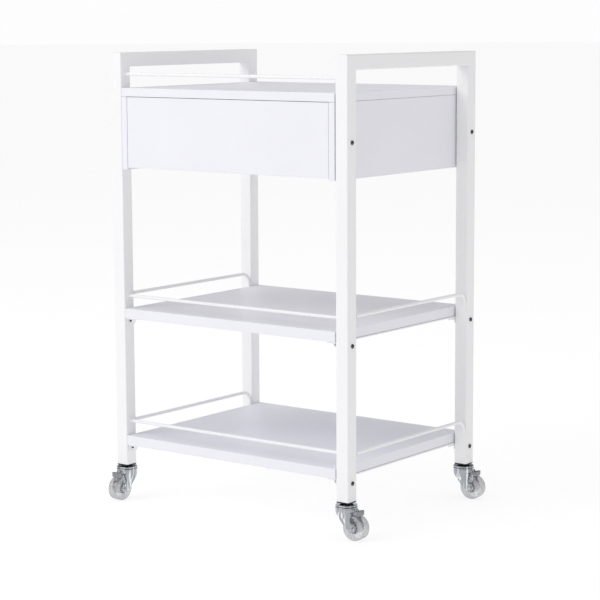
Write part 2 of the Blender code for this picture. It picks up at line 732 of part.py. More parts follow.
def pedal_mesh():
    """Make a brake pedal about its pivot: a wedge over the wheel on a cross pin."""
    outline = [
        (-0.0050, 0.0238),
        (0.0000, 0.0235),
        (0.0050, 0.0229),
        (0.0100, 0.0211),
        (0.0108, 0.0297),
        (0.0088, 0.0299),
        (-0.0010, 0.0268),
        (-0.0050, 0.0262),
    ]
    about_pivot = [(u - PEDAL_PIVOT[0], v - PEDAL_PIVOT[1]) for u, v in outline]
    body = outline_mesh("brake_pedal", about_pivot, PEDAL_WIDTH, OUTLINE_IN_XZ)
    holder = add_cutter("pedal_shape", body)
    length = LEG_SPACING + LEG_THICKNESS
    pin = rods_mesh("pedal_pin", PEDAL_PIN_RADIUS, length, [(0, 0, 0)], AXIS_ALONG_Y)
    pin_tool = add_cutter("pedal_pin", pin)
    combine(holder, pin_tool, "UNION")
    mesh = evaluated_mesh(holder)
    for tool in (holder, pin_tool):
        bpy.data.objects.remove(tool)
    return mesh


def add_casters():
    """Add an end plug and a swivel caster with a wheel brake under each post."""
    plug, stem, fork = plug_mesh(), stem_mesh(), fork_mesh()
    axle, wheel, pedal = axle_mesh(), wheel_mesh(), pedal_mesh()
    post_x = {"left": TUBE / 2, "right": WIDTH - TUBE / 2}
    axle_z = WHEEL_RADIUS - CASTER_HEIGHT
    upright = (math.radians(90), 0, 0)
    for corner, angle in CASTER_ANGLES.items():
        end, side = corner.split("_")
        place = (post_x[side], POST_CENTRES[end], CASTER_HEIGHT)
        add_piece(corner + "_plug", plug, BLACK_PLASTIC, location=place)
        add_piece(corner + "_caster_stem", stem, ZINC, location=place)
        swivel = add_empty(corner + "_swivel_axis", place, angle)
        hub = (TRAIL, 0, axle_z)
        pivot = (TRAIL + PEDAL_PIVOT[0], 0, axle_z + PEDAL_PIVOT[1])
        add_piece(corner + "_caster_fork", fork, ZINC, swivel)
        add_piece(corner + "_caster_axle", axle, ZINC, swivel, hub, upright)
        add_piece(corner + "_caster_wheel", wheel, CLEAR_WHEEL, swivel, hub, upright)
        add_piece(corner + "_brake_pedal", pedal, PEDAL_METAL, swivel, pivot)


def stand_on_origin():
    """Shift the base so that the whole trolley's box stands centred on the world origin."""
    bpy.context.view_layer.update()
    depsgraph = bpy.context.evaluated_depsgraph_get()
    places = []
    for piece in PARTS.objects:
        if piece.type == "MESH":
            solid = piece.evaluated_get(depsgraph)
            places += [solid.matrix_world @ vert.co for vert in solid.data.vertices]
    low = Vector(min(place[axis] for place in places) for axis in range(3))
    high = Vector(max(place[axis] for place in places) for axis in range(3))
    BASE.location = -Vector(((low.x + high.x) / 2, (low.y + high.y) / 2, low.z))


add_side_frame("left", 0.0, LEFT_INNER - WIRE_RADIUS, LEFT_INNER)
add_side_frame("right", RIGHT_INNER, WIDTH - WIRE_RADIUS, RIGHT_INNER)
add_front_rods()
add_boards()
add_box_panels()
add_shelf_supports()
add_post_screws()
add_drawer()
add_casters()
stand_on_origin()
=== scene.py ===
"""Looks of the rolling salon trolley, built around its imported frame.

Every place comes from the frame: a piece takes its corners from the node that it stands for, and
each caster takes its turn from its joints. Lengths are in metres, +Z is up, and the front is -Y.
"""

import json
import logging
import math
from collections.abc import Sequence
from dataclasses import dataclass
from enum import Enum
from typing import Any

import bmesh
import bpy
from mathutils import Matrix, Vector

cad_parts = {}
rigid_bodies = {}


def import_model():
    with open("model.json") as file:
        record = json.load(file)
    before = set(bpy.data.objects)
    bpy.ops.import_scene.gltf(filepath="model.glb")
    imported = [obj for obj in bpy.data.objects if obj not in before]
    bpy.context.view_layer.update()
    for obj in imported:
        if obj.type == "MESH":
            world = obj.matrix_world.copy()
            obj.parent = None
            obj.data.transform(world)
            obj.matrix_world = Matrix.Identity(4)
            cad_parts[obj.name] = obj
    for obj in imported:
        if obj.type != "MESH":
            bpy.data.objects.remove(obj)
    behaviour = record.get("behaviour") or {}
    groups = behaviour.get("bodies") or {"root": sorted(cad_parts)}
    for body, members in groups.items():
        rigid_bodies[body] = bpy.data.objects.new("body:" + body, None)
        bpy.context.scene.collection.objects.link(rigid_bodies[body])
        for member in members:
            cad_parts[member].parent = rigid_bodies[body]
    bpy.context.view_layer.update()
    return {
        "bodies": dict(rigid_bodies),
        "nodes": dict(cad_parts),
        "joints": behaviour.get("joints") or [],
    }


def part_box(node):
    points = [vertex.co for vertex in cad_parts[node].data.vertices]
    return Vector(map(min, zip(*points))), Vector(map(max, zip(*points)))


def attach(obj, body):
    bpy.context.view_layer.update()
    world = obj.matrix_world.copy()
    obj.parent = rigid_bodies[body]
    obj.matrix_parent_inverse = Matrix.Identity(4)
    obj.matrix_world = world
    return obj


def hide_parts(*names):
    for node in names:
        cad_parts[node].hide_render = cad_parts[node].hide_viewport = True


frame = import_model()
LOG = logging.getLogger("trolley")

Point = tuple[float, float]
Color = tuple[float, float, float]
Ring = list[Vector]

SIDEWAYS = Matrix.Rotation(math.radians(90), 4, "Y")  # turns an axis along +Z to +X
LYING = Matrix.Rotation(math.radians(90), 4, "X")  # turns an axis along +Z to -Y
SHARP_ANGLE = 38.0  # degrees past which an edge stays sharp
MERGE_DISTANCE = 0.0000005
MIX_LOW, MIX_HIGH, MIX_RESULT = 6, 7, 2  # the Mix node's colour sockets


class Side(Enum):
    """The trolley's two sides."""

    LEFT = "left"
    RIGHT = "right"


class Level(Enum):
    """The heights at which the trolley carries something."""

    LOWER = "lower"
    MIDDLE = "middle"
    TOP = "top"


class Corner(Enum):
    """The four posts, each over its caster."""

    FRONT_LEFT = "front_left"
    FRONT_RIGHT = "front_right"
    REAR_LEFT = "rear_left"
    REAR_RIGHT = "rear_right"


# ---------------------------------------------------------------- shader maths


class Value:
    """A number that varies over a surface; arithmetic on it adds Math nodes."""

    def __init__(self, tree: bpy.types.NodeTree, socket: bpy.types.NodeSocket) -> None:
        """Wrap one output socket of a tree."""
        self.tree = tree
        self.socket = socket

    def _math(self, operation: str, *terms: "Value | float") -> "Value":
        """Add a Math node.

        Args:
            operation: the node's operation.
            terms: its values, in the order of its sockets.

        Returns:
            The node's result.
        """
        node = self.tree.nodes.new("ShaderNodeMath")
        node.operation = operation
        for slot, term in zip(node.inputs, terms):
            if isinstance(term, Value):
                self.tree.links.new(term.socket, slot)
            else:
                slot.default_value = term
        return Value(self.tree, node.outputs[0])

    def __add__(self, other: "Value | float") -> "Value":
        """Return self + other."""
        return self._math("ADD", self, other)

    def __radd__(self, other: float) -> "Value":
        """Return other + self."""
        return self._math("ADD", other, self)

    def __sub__(self, other: "Value | float") -> "Value":
        """Return self - other."""
        return self._math("SUBTRACT", self, other)

    def __rsub__(self, other: float) -> "Value":
        """Return other - self."""
        return self._math("SUBTRACT", other, self)

    def __mul__(self, other: "Value | float") -> "Value":
        """Return self * other."""
        return self._math("MULTIPLY", self, other)

    def __rmul__(self, other: float) -> "Value":
        """Return other * self."""
        return self._math("MULTIPLY", other, self)

    def __truediv__(self, other: "Value | float") -> "Value":
        """Return self / other."""
        return self._math("DIVIDE", self, other)

    def above(self, level: float, softness: float) -> "Value":
        """Return a mask that rises from 0 to 1 over a softness past a level."""
        shifted = (self - level) / softness
        return shifted._math("MINIMUM", shifted._math("MAXIMUM", shifted, 0.0), 1.0)


class Recipe:
    """A material being made: its tree, its shader, and one way to add any other node."""

    def __init__(self, name: str, constants: dict[str, Any]) -> None:
        """Start a Principled material.

        Args:
            name: the material's name.
            constants: values of the shader's own sockets that don't vary over the surface.
        """
        self.material = bpy.data.materials.new(name)
        self.material.use_nodes = True
        self.tree = self.material.node_tree
        self.shader = self.tree.nodes["Principled BSDF"]
        for socket, value in constants.items():
            self.shader.inputs[socket].default_value = value
        self.place = self.node("ShaderNodeTexCoord", output="Object")

    def node(
        self,
        kind: str,
        settings: dict[str, Any] | None = None,
        sockets: dict[str | int, Any] | None = None,
        output: str | int = 0,
    ) -> Value:
        """Add a node.

        Args:
            kind: the node's type.
            settings: its properties, set first.
            sockets: values or links of its inputs, by name or number.
            output: the output to return, by name or number.

        Returns:
            The chosen output.
        """
        node = self.tree.nodes.new(kind)
        for key, value in (settings or {}).items():
            setattr(node, key, value)
        for key, value in (sockets or {}).items():
            if isinstance(value, Value):
                self.tree.links.new(value.socket, node.inputs[key])
            else:
                node.inputs[key].default_value = value
        return Value(self.tree, node.outputs[output])

    def noise(
        self, scale: float, detail: float = 2.0, stretch: Sequence[float] = (1, 1, 1)
    ) -> Value:
        """Add noise on the object's own coordinates.

        Args:
            scale: features per metre.
            detail: octaves of finer noise.
            stretch: scale along each axis; a small one draws the pattern out along it.

        Returns:
            The noise, about 0.5.
        """
        sockets = {"Vector": self.place, "Scale": tuple(stretch)}
        place = self.node("ShaderNodeMapping", sockets=sockets)
        return self.node(
            "ShaderNodeTexNoise", sockets={"Vector": place, "Scale": scale, "Detail": detail}
        )

    def height(self) -> Value:
        """Return the height above the floor."""
        return self.node("ShaderNodeSeparateXYZ", sockets={0: self.place}, output="Z")

    def blend(self, mask: Value, low: "Color | Value", high: "Color | Value") -> Value:
        """Mix two colours.

        Args:
            mask: 0 shows the low colour and 1 the high one.
            low: a colour, or a colour made by other nodes.
            high: the same.

        Returns:
            The mixed colour.
        """
        colors = {MIX_LOW: low, MIX_HIGH: high}
        sockets = {key: c if isinstance(c, Value) else (*c, 1.0) for key, c in colors.items()}
        return self.node("ShaderNodeMix", {"data_type": "RGBA"}, {0: mask, **sockets}, MIX_RESULT)

    def feed(self, socket: str, value: Value) -> None:
        """Link a varying value into the shader."""
        self.tree.links.new(value.socket, self.shader.inputs[socket])

    def bump(self, height: Value, depth: float, strength: float = 1.0) -> None:
        """Raise the surface by a height from 0 to 1, times a depth in metres."""
        sockets = {"Height": height, "Distance": depth, "Strength": strength}
        self.feed("Normal", self.node("ShaderNodeBump", sockets=sockets))


@dataclass(frozen=True)
class Finish:
    """A finish: the record's slot it fills, and its main values."""

    slot: str
    color: Color
    roughness: float

    def make(self) -> bpy.types.Material:
        """Make the material; each finish says how."""
        raise NotImplementedError

    def toned(self, share: float) -> Color:
        """Return the finish's colour, made darker or lighter by a share."""
        return tuple(min(channel * share, 1.0) for channel in self.color)


@dataclass(frozen=True)
class PowderCoat(Finish):
    """White polyester powder on steel: orange peel, soft clouds and a dull hem near the floor."""

    slot: str = "white_powder_coat"
    color: Color = (0.900, 0.900, 0.912)
    roughness: float = 0.34
    peel: float = 620.0
    dust_height: float = 0.12

    def make(self) -> bpy.types.Material:
        """Make the material.

        Returns:
            The material.
        """
        recipe = Recipe(self.slot, {"Specular IOR Level": 0.5, "Coat Roughness": 0.25})
        cloud = recipe.noise(7.0, 4.0)
        peel = recipe.noise(self.peel, 3.0)
        pits = recipe.noise(2400.0, 1.0)
        dust = (1.0 - recipe.height().above(0.0, self.dust_height)) * cloud
        clean = recipe.blend(cloud.above(0.35, 0.3), self.toned(0.985), self.color)
        recipe.feed("Base Color", recipe.blend(dust * 0.16, clean, self.toned(0.80)))
        recipe.feed("Roughness", self.roughness + cloud * 0.10 + dust * 0.12)
        recipe.feed("Coat Weight", 0.10 + peel * 0.10)
        recipe.bump(peel * 0.8 + pits * 0.2, 0.00016, 0.55)
        return recipe.material


@dataclass(frozen=True)
class Melamine(Finish):
    """White melamine on board: a fine pressed grain, faint smudges and a pearl of gloss."""

    slot: str = "white_board"
    color: Color = (0.850, 0.850, 0.905)
    roughness: float = 0.42
    grain: float = 260.0

    def make(self) -> bpy.types.Material:
        """Make the material.

        Returns:
            The material.
        """
        recipe = Recipe(self.slot, {"Specular IOR Level": 0.45})
        smudge = recipe.noise(11.0, 5.0)
        grain = recipe.noise(self.grain, 3.0, (0.35, 1.6, 1.6))
        pores = recipe.noise(1700.0, 2.0)
        base = recipe.blend(smudge.above(0.42, 0.25), self.toned(0.984), self.color)
        recipe.feed("Base Color", recipe.blend(grain * 0.10, base, self.toned(0.93)))
        recipe.feed("Roughness", self.roughness + smudge * 0.12 - grain * 0.04)
        recipe.bump(grain * 0.5 + pores * 0.5, 0.00009, 0.5)
        return recipe.material


@dataclass(frozen=True)
class DrawerFoil(Melamine):
    """Paper foil on the drawer's inner boards: warmer and duller, with a drawn-out grain."""

    slot: str = "drawer_board"
    color: Color = (0.850, 0.846, 0.838)
    roughness: float = 0.55
    grain: float = 140.0


@dataclass(frozen=True)
class ZincPlate(Finish):
    """Bright zinc on pressed steel, with the blue and straw tints of its passivation and painted
    reflections in dark and near-white upright bands.
    """

    slot: str = "zinc_plate"
    color: Color = (0.72, 0.75, 0.79)
    roughness: float = 0.12
    # noise scale of the bump's upright flutes and of the painted reflection bands
    flute_and_reflection_scale: float = 260.0

    def make(self) -> bpy.types.Material:
        """Make the material.

        Returns:
            The material.
        """
        recipe = Recipe(self.slot, {"Metallic": 1.0})
        tint = recipe.noise(95.0, 3.0)
        spangle = recipe.noise(700.0, 4.0)
        scuff = recipe.noise(320.0, 5.0, (1.0, 1.0, 0.12)).above(0.60, 0.08)
        # one upright-stretched noise: the bump's flutes, and the mask of the painted reflections
        flutes_and_painted_reflections = recipe.noise(self.flute_and_reflection_scale, 1.0, (1.0, 1.0, 0.05))
        cool = recipe.blend(tint.above(0.40, 0.3), self.color, (0.62, 0.70, 0.80))
        warm = recipe.blend(tint.above(0.60, 0.2), cool, (0.80, 0.79, 0.74))
        # painted reflections in the base colour: dark grey bands and near-white streaks stand in
        # for the surround mirrored in the metal
        bright = recipe.blend(flutes_and_painted_reflections.above(0.50, 0.10), self.toned(0.56), warm)
        bright = recipe.blend(flutes_and_painted_reflections.above(0.60, 0.06), bright, (0.96, 0.97, 0.98))
        recipe.feed("Base Color", recipe.blend(scuff * 0.35, bright, self.toned(0.50)))
        recipe.feed("Roughness", self.roughness + spangle * 0.08 + scuff * 0.14)
        recipe.bump(flutes_and_painted_reflections * 0.6 + spangle * 0.25 + tint * 0.15, 0.0004, 0.5)
        return recipe.material


@dataclass(frozen=True)
class RunnerSteel(Finish):
    """Rolled galvanised strip, drawn along the slide."""

    slot: str = "runner_steel"
    color: Color = (0.60, 0.61, 0.63)
    roughness: float = 0.30

    def make(self) -> bpy.types.Material:
        """Make the material.

        Returns:
            The material.
        """
        recipe = Recipe(self.slot, {"Metallic": 1.0})
        lines = recipe.noise(900.0, 3.0, (1.0, 0.02, 1.0))
        grease = recipe.noise(26.0, 3.0).above(0.5, 0.2)
        recipe.feed("Base Color", recipe.blend(lines, self.toned(0.86), self.toned(1.08)))
        recipe.feed("Roughness", self.roughness + lines * 0.14 - grease * 0.08)
        recipe.bump(lines, 0.00008, 0.5)
        return recipe.material


@dataclass(frozen=True)
class BlackPlastic(Finish):
    """Black polypropylene with a spark-eroded grain."""

    slot: str = "black_plastic"
    color: Color = (0.012, 0.012, 0.013)
    roughness: float = 0.42

    def make(self) -> bpy.types.Material:
        """Make the material.

        Returns:
            The material.
        """
        recipe = Recipe(self.slot, {"Specular IOR Level": 0.4})
        grain = recipe.noise(1500.0, 2.0)
        bloom = recipe.noise(60.0, 3.0)
        recipe.feed("Base Color", recipe.blend(bloom.above(0.5, 0.3), self.color, self.toned(1.9)))
        recipe.feed("Roughness", self.roughness + bloom * 0.14)
        recipe.bump(grain, 0.00010, 0.5)
        return recipe.material


@dataclass(frozen=True)
class ClearWheel(Finish):
    """Clear cast polyurethane: water-grey at the sides, darker and fuller at the tread."""

    slot: str = "clear_wheel"
    color: Color = (0.66, 0.665, 0.70)
    roughness: float = 0.06
    tread: Color = (0.30, 0.305, 0.325)

    def make(self) -> bpy.types.Material:
        """Make the material.

        Returns:
            The material.
        """
        recipe = Recipe(self.slot, {"IOR": 1.49, "Coat Roughness": 0.03, "Specular IOR Level": 0.8})
        tread = recipe.node("ShaderNodeAttribute", {"attribute_name": "tread"}, output="Fac")
        haze = recipe.noise(240.0, 3.0)
        wear = tread.above(0.86, 0.10) * haze.above(0.45, 0.2)
        edge = recipe.node("ShaderNodeLayerWeight", sockets={"Blend": 0.35}, output="Facing")
        body = recipe.blend(haze, self.toned(0.92), self.toned(1.06))
        streak = recipe.noise(330.0, 2.0, (1.0, 1.0, 0.35)).above(0.60, 0.05)
        swirled = recipe.blend(streak * 0.55, body, self.tread)
        recipe.feed("Base Color", recipe.blend(tread.above(0.80, 0.18), swirled, self.tread))
        recipe.feed("Alpha", (0.26 + tread * 0.12 + edge * 0.42 + streak * 0.25).above(0.0, 1.0))
        recipe.feed("Roughness", self.roughness + wear * 0.30)
        recipe.feed("Coat Weight", 0.7 - wear * 0.5)
        recipe.bump(haze, 0.00012, 0.6)
        return recipe.material


@dataclass(frozen=True)
class MilkyCore(Finish):
    """The wheel's moulded core: pale clear polycarbonate that glows where it is thick."""

    slot: str = "clear_wheel"
    color: Color = (0.74, 0.745, 0.775)
    roughness: float = 0.12

    def make(self) -> bpy.types.Material:
        """Make the material.

        Returns:
            The material.
        """
        recipe = Recipe("wheel_core", {"Specular IOR Level": 0.7, "Coat Roughness": 0.05})
        flow = recipe.noise(150.0, 3.0, (1.0, 1.0, 0.4))
        recipe.feed("Base Color", recipe.blend(flow, self.toned(0.80), self.toned(1.12)))
        recipe.feed("Roughness", self.roughness + flow * 0.08)
        recipe.feed("Coat Weight", 0.6 + flow * 0.3)
        recipe.bump(flow, 0.0002, 0.4)
        return recipe.material


@dataclass(frozen=True)
class PedalSteel(Finish):
    """Grey pressed steel, rubbed bright along the ribs that the foot meets."""

    slot: str = "pedal_metal"
    color: Color = (0.30, 0.31, 0.33)
    roughness: float = 0.38

    def make(self) -> bpy.types.Material:
        """Make the material.

        Returns:
            The material.
        """
        recipe = Recipe(self.slot, {"Metallic": 0.75})
        grit = recipe.noise(1300.0, 3.0)
        rub = recipe.noise(210.0, 4.0).above(0.56, 0.12)
        recipe.feed("Base Color", recipe.blend(rub * 0.6, self.color, self.toned(1.7)))
        recipe.feed("Roughness", self.roughness + grit * 0.16 - rub * 0.10)
        recipe.bump(grit, 0.00010, 0.5)
        return recipe.material


@dataclass(frozen=True)
class DarkScrew(Finish):
    """Blackened screw steel, worn silver on its high spots."""

    slot: str = "dark_screw"
    color: Color = (0.095, 0.095, 0.105)
    roughness: float = 0.33

    def make(self) -> bpy.types.Material:
        """Make the material.

        Returns:
            The material.
        """
        recipe = Recipe(self.slot, {"Metallic": 0.85})
        worn = recipe.noise(900.0, 4.0).above(0.58, 0.10)
        recipe.feed("Base Color", recipe.blend(worn, self.color, (0.30, 0.30, 0.31)))
        recipe.feed("Roughness", self.roughness + worn * 0.10)
        recipe.bump(recipe.noise(2200.0, 2.0), 0.00005, 0.5)
        return recipe.material


@dataclass(frozen=True)
class StudioFloor(Finish):
    """A lit white sweep that takes only a faint shadow."""

    slot: str = "floor"
    color: Color = (0.24, 0.24, 0.24)
    roughness: float = 0.95
    glow: float = 0.79
    mirrored: float = 0.95  # share of the glow that polished metal reflects

    def make(self) -> bpy.types.Material:
        """Make the material.

        Returns:
            The material.
        """
        recipe = Recipe(self.slot, {"Specular IOR Level": 0.0, "Emission Strength": self.glow})
        paper = recipe.noise(3.0, 3.0)
        mirror = recipe.node("ShaderNodeLightPath", output="Is Glossy Ray")
        dim = (self.mirrored, self.mirrored, self.mirrored)
        recipe.feed("Emission Color", recipe.blend(mirror, (1.0, 1.0, 1.0), dim))
        recipe.feed("Base Color", recipe.blend(paper, self.toned(0.99), self.toned(1.01)))
        recipe.feed("Roughness", self.roughness + paper * 0.02)
        return recipe.material


# ---------------------------------------------------------------- mesh making


def link(name: str, data: Any) -> bpy.types.Object:
    """Put new data in the scene as an object at the origin.

    Args:
        name: the object's name.
        data: its mesh, light or camera.

    Returns:
        The object.
    """
    item = bpy.data.objects.new(name, data)
    bpy.context.scene.collection.objects.link(item)
    return item


def settled(item: bpy.types.Object) -> bpy.types.Mesh:
    """Apply an object's modifiers, and remove the object.

    Args:
        item: the object.

    Returns:
        The mesh that its modifiers made.
    """
    bpy.context.view_layer.update()
    depsgraph = bpy.context.evaluated_depsgraph_get()
    mesh = bpy.data.meshes.new_from_object(item.evaluated_get(depsgraph))
    bpy.data.objects.remove(item)
    return mesh


def rounded_square(half: float, radius: float, steps: int = 4) -> list[Point]:
    """Return a square's outline with round corners.

    Args:
        half: half of the square's side.
        radius: its corners' radius.
        steps: segments in a corner.

    Returns:
        The outline's points, anticlockwise.
    """
    points = []
    for quarter in range(4):
        middle = math.radians(45 + 90 * quarter)
        centre_u = (half - radius) * math.copysign(1, math.cos(middle))
        centre_v = (half - radius) * math.copysign(1, math.sin(middle))
        for step in range(steps + 1):
            angle = math.radians(90 * quarter + 90 * step / steps)
            u, v = radius * math.cos(angle), radius * math.sin(angle)
            points.append((centre_u + u, centre_v + v))
    return points


def circle(radius: float, steps: int) -> list[Point]:
    """Return the points of a circle."""
    angles = [math.tau * i / steps for i in range(steps)]
    return [(radius * math.cos(a), radius * math.sin(a)) for a in angles]


def arc(centre: Point, radius: float, start: float, end: float, steps: int) -> list[Point]:
    """Return the points of an arc between two angles in degrees."""
    angles = [math.radians(start + (end - start) * i / steps) for i in range(steps + 1)]
    return [(centre[0] + radius * math.cos(a), centre[1] + radius * math.sin(a)) for a in angles]


def eased(knots: Sequence[Point], at: float) -> float:
    """Follow a smooth curve through knots.

    Args:
        knots: (position, value) pairs with rising positions.
        at: the position.

    Returns:
        The curve's value there.
    """
    if at <= knots[0][0]:
        return knots[0][1]
    if at >= knots[-1][0]:
        return knots[-1][1]
    last = max(i for i, (position, _) in enumerate(knots) if position <= at)
    (x0, y0), (x1, y1) = knots[last], knots[last + 1]
    before = knots[last - 1] if last > 0 else knots[last]
    after = knots[last + 2] if last + 2 < len(knots) else knots[last + 1]
    slope0 = (y1 - before[1]) / (x1 - before[0])
    slope1 = (after[1] - y0) / (after[0] - x0)
    span, t = x1 - x0, (at - x0) / (x1 - x0)
    h00, h10 = 2 * t**3 - 3 * t**2 + 1, t**3 - 2 * t**2 + t
    h01, h11 = 3 * t**2 - 2 * t**3, t**3 - t**2
    return h00 * y0 + h10 * span * slope0 + h01 * y1 + h11 * span * slope1


@dataclass(frozen=True)
class Mark:
    """A cross-section on a bent bar: at a point of its path, shifted along it and scaled."""

    point: int
    shift: float = 0.0
    scale: float = 1.0


class Shape:
    """A closed mesh under construction."""

    def __init__(self) -> None:
        """Start with nothing."""
        self.bm = bmesh.new()

    def loft(self, rings: Sequence[Ring], cyclic: bool = False) -> "Shape":
        """Join rings of equal counts into one closed skin.

        Args:
            rings: the rings, in order along the skin.
            cyclic: joins the last ring to the first, where open ends would be capped.

        Returns:
            The shape.
        """
        rows = [[self.bm.verts.new(place) for place in ring] for ring in rings]
        following = rows[1:] + (rows[:1] if cyclic else [])
        for near, far in zip(rows, following):
            for i in range(len(near)):
                j = (i + 1) % len(near)
                self.bm.faces.new((near[i], near[j], far[j], far[i]))
        if not cyclic:
            self.bm.faces.new(rows[0])
            self.bm.faces.new(rows[-1])
        return self

    def turn(self, profile: Sequence[Point], steps: int, cyclic: bool = False) -> "Shape":
        """Turn a profile of (radius, height) points about Z."""
        rings = [[Vector((u, v, z)) for u, v in circle(radius, steps)] for radius, z in profile]
        return self.loft(rings, cyclic)

    def slab(self, outer: Sequence[Ring], inner: Sequence[Ring]) -> "Shape":
        """Close the space between two grids of equal size.

        Args:
            outer: rows of points on one face.
            inner: the matching rows on the other face.

        Returns:
            The shape.
        """
        faces = [[[self.bm.verts.new(p) for p in row] for row in grid] for grid in (outer, inner)]
        for grid in faces:
            for row, below in zip(grid, grid[1:]):
                for i in range(len(row) - 1):
                    self.bm.faces.new((row[i], row[i + 1], below[i + 1], below[i]))
        borders = []
        for grid in faces:
            right = [row[-1] for row in grid[1:]]
            left = [row[0] for row in reversed(grid[1:-1])]
            borders.append(grid[0] + right + list(reversed(grid[-1][:-1])) + left)
        count = len(borders[0])
        for i in range(count):
            j = (i + 1) % count
            self.bm.faces.new((borders[0][i], borders[0][j], borders[1][j], borders[1][i]))
        return self

    def box(self, low: Vector, high: Vector, edge: float = 0.0, steps: int = 3) -> "Shape":
        """Add a box with rounded edges.

        Args:
            low: its lowest corner.
            high: its highest corner.
            edge: the edges' radius.
            steps: segments in an edge.

        Returns:
            The shape.
        """
        place = Matrix.Translation((low + high) / 2) @ Matrix.Diagonal((*(high - low), 1.0))
        made = bmesh.ops.create_cube(self.bm, size=1.0, matrix=place)
        if edge:
            edges = list({e for vert in made["verts"] for e in vert.link_edges})
            bmesh.ops.bevel(
                self.bm, geom=edges, offset=edge, segments=steps, profile=0.5, affect="EDGES"
            )
        return self

    def score(self, inset: float, depth: float) -> "Shape":
        """Score a fine line round the two broadest faces.

        Args:
            inset: how far in from their edges it runs.
            depth: its depth; it is four times as wide.

        Returns:
            The shape.
        """
        broad = sorted(self.bm.faces, key=lambda face: face.calc_area())[-2:]
        for thickness, sink in ((inset, 0.0), (depth * 2, -depth), (depth * 2, depth)):
            bmesh.ops.inset_region(self.bm, faces=broad, thickness=thickness, depth=sink)
        return self

    def move(self, matrix: Matrix) -> "Shape":
        """Move the whole shape."""
        bmesh.ops.transform(self.bm, matrix=matrix, verts=self.bm.verts)
        return self

    def mesh(self, name: str) -> bpy.types.Mesh:
        """Finish the mesh.

        Args:
            name: the mesh's name.

        Returns:
            The mesh, shaded smooth, with even normals on its flat faces.
        """
        bmesh.ops.remove_doubles(self.bm, verts=self.bm.verts, dist=MERGE_DISTANCE)
        bmesh.ops.recalc_face_normals(self.bm, faces=self.bm.faces)
        mesh = bpy.data.meshes.new(name)
        self.bm.to_mesh(mesh)
        self.bm.free()
        return evened(mesh)


def evened(mesh: bpy.types.Mesh) -> bpy.types.Mesh:
    """Shade a mesh smooth, with its flat faces kept flat beside their round edges.

    Args:
        mesh: the mesh.

    Returns:
        The shaded mesh.
    """
    mesh.shade_smooth()
    mesh.set_sharp_from_angle(angle=math.radians(SHARP_ANGLE))
    item = link(mesh.name, mesh)
    weighted = item.modifiers.new("even", "WEIGHTED_NORMAL")
    weighted.keep_sharp = True
    return settled(item)


def drilled(mesh: bpy.types.Mesh, tools: "Shape") -> bpy.types.Mesh:
    """Cut closed tools out of a mesh.

    Args:
        mesh: the mesh.
        tools: the tools, apart from one another.

    Returns:
        The mesh that is left, shaded.
    """
    item = link(mesh.name, mesh)
    cutter = link("drill", tools.mesh("drill"))
    cut = item.modifiers.new("drill", "BOOLEAN")
    cut.operation = "DIFFERENCE"
    cut.solver = "EXACT"
    cut.object = cutter
    result = settled(item)
    bpy.data.objects.remove(cutter)
    return evened(result)


def bar_rings(
    x: float, path: Sequence[Point], section: Sequence[Point], marks: Sequence[Mark]
) -> list[Ring]:
    """Place cross-sections along a bar that bends in the YZ plane, mitred at its bends.

    Args:
        x: the plane of the bar's centre line.
        path: its (y, z) points.
        section: (x, in-plane) points of the cross-section.
        marks: where the cross-sections go.

    Returns:
        One ring for each mark.
    """
    points = [Vector(point) for point in path]
    rings = []
    for mark in marks:
        here = points[mark.point]
        runs = []
        if mark.point > 0:
            runs.append((here - points[mark.point - 1]).normalized())
        if mark.point < len(points) - 1:
            runs.append((points[mark.point + 1] - here).normalized())
        normals = [Vector((-run.y, run.x)) for run in (runs[0], runs[-1])]
        mitre = (normals[0] + normals[1]) / (1 + normals[0].dot(normals[1]))
        centre = here + (runs[0] if mark.shift < 0 else runs[-1]) * mark.shift
        ring = []
        for u, v in section:
            spot = centre + mitre * v * mark.scale
            ring.append(Vector((x + u * mark.scale, spot.x, spot.y)))
        rings.append(ring)
    return rings


def place_piece(
    name: str,
    mesh: bpy.types.Mesh,
    material: bpy.types.Material,
    body: str,
    replaces: Sequence[str] = (),
) -> bpy.types.Object:
    """Put a finished mesh on a body of the frame.

    Args:
        name: the piece's name.
        mesh: its mesh, already in place.
        material: its finish.
        body: the body that it moves with.
        replaces: the nodes that it stands for.

    Returns:
        The piece.

    Raises:
        ValueError: the mesh has no faces.
    """
    if not mesh.polygons:
        raise ValueError(f"{name} has no faces")
    mesh.name = name
    mesh.materials.clear()
    mesh.materials.append(material)
    item = link(name, mesh)
    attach(item, body)
    if replaces:
        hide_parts(*replaces)
    LOG.info("%s on %s, %d faces", name, body, len(mesh.polygons))
    return item


# ---------------------------------------------------------------- repeated shapes


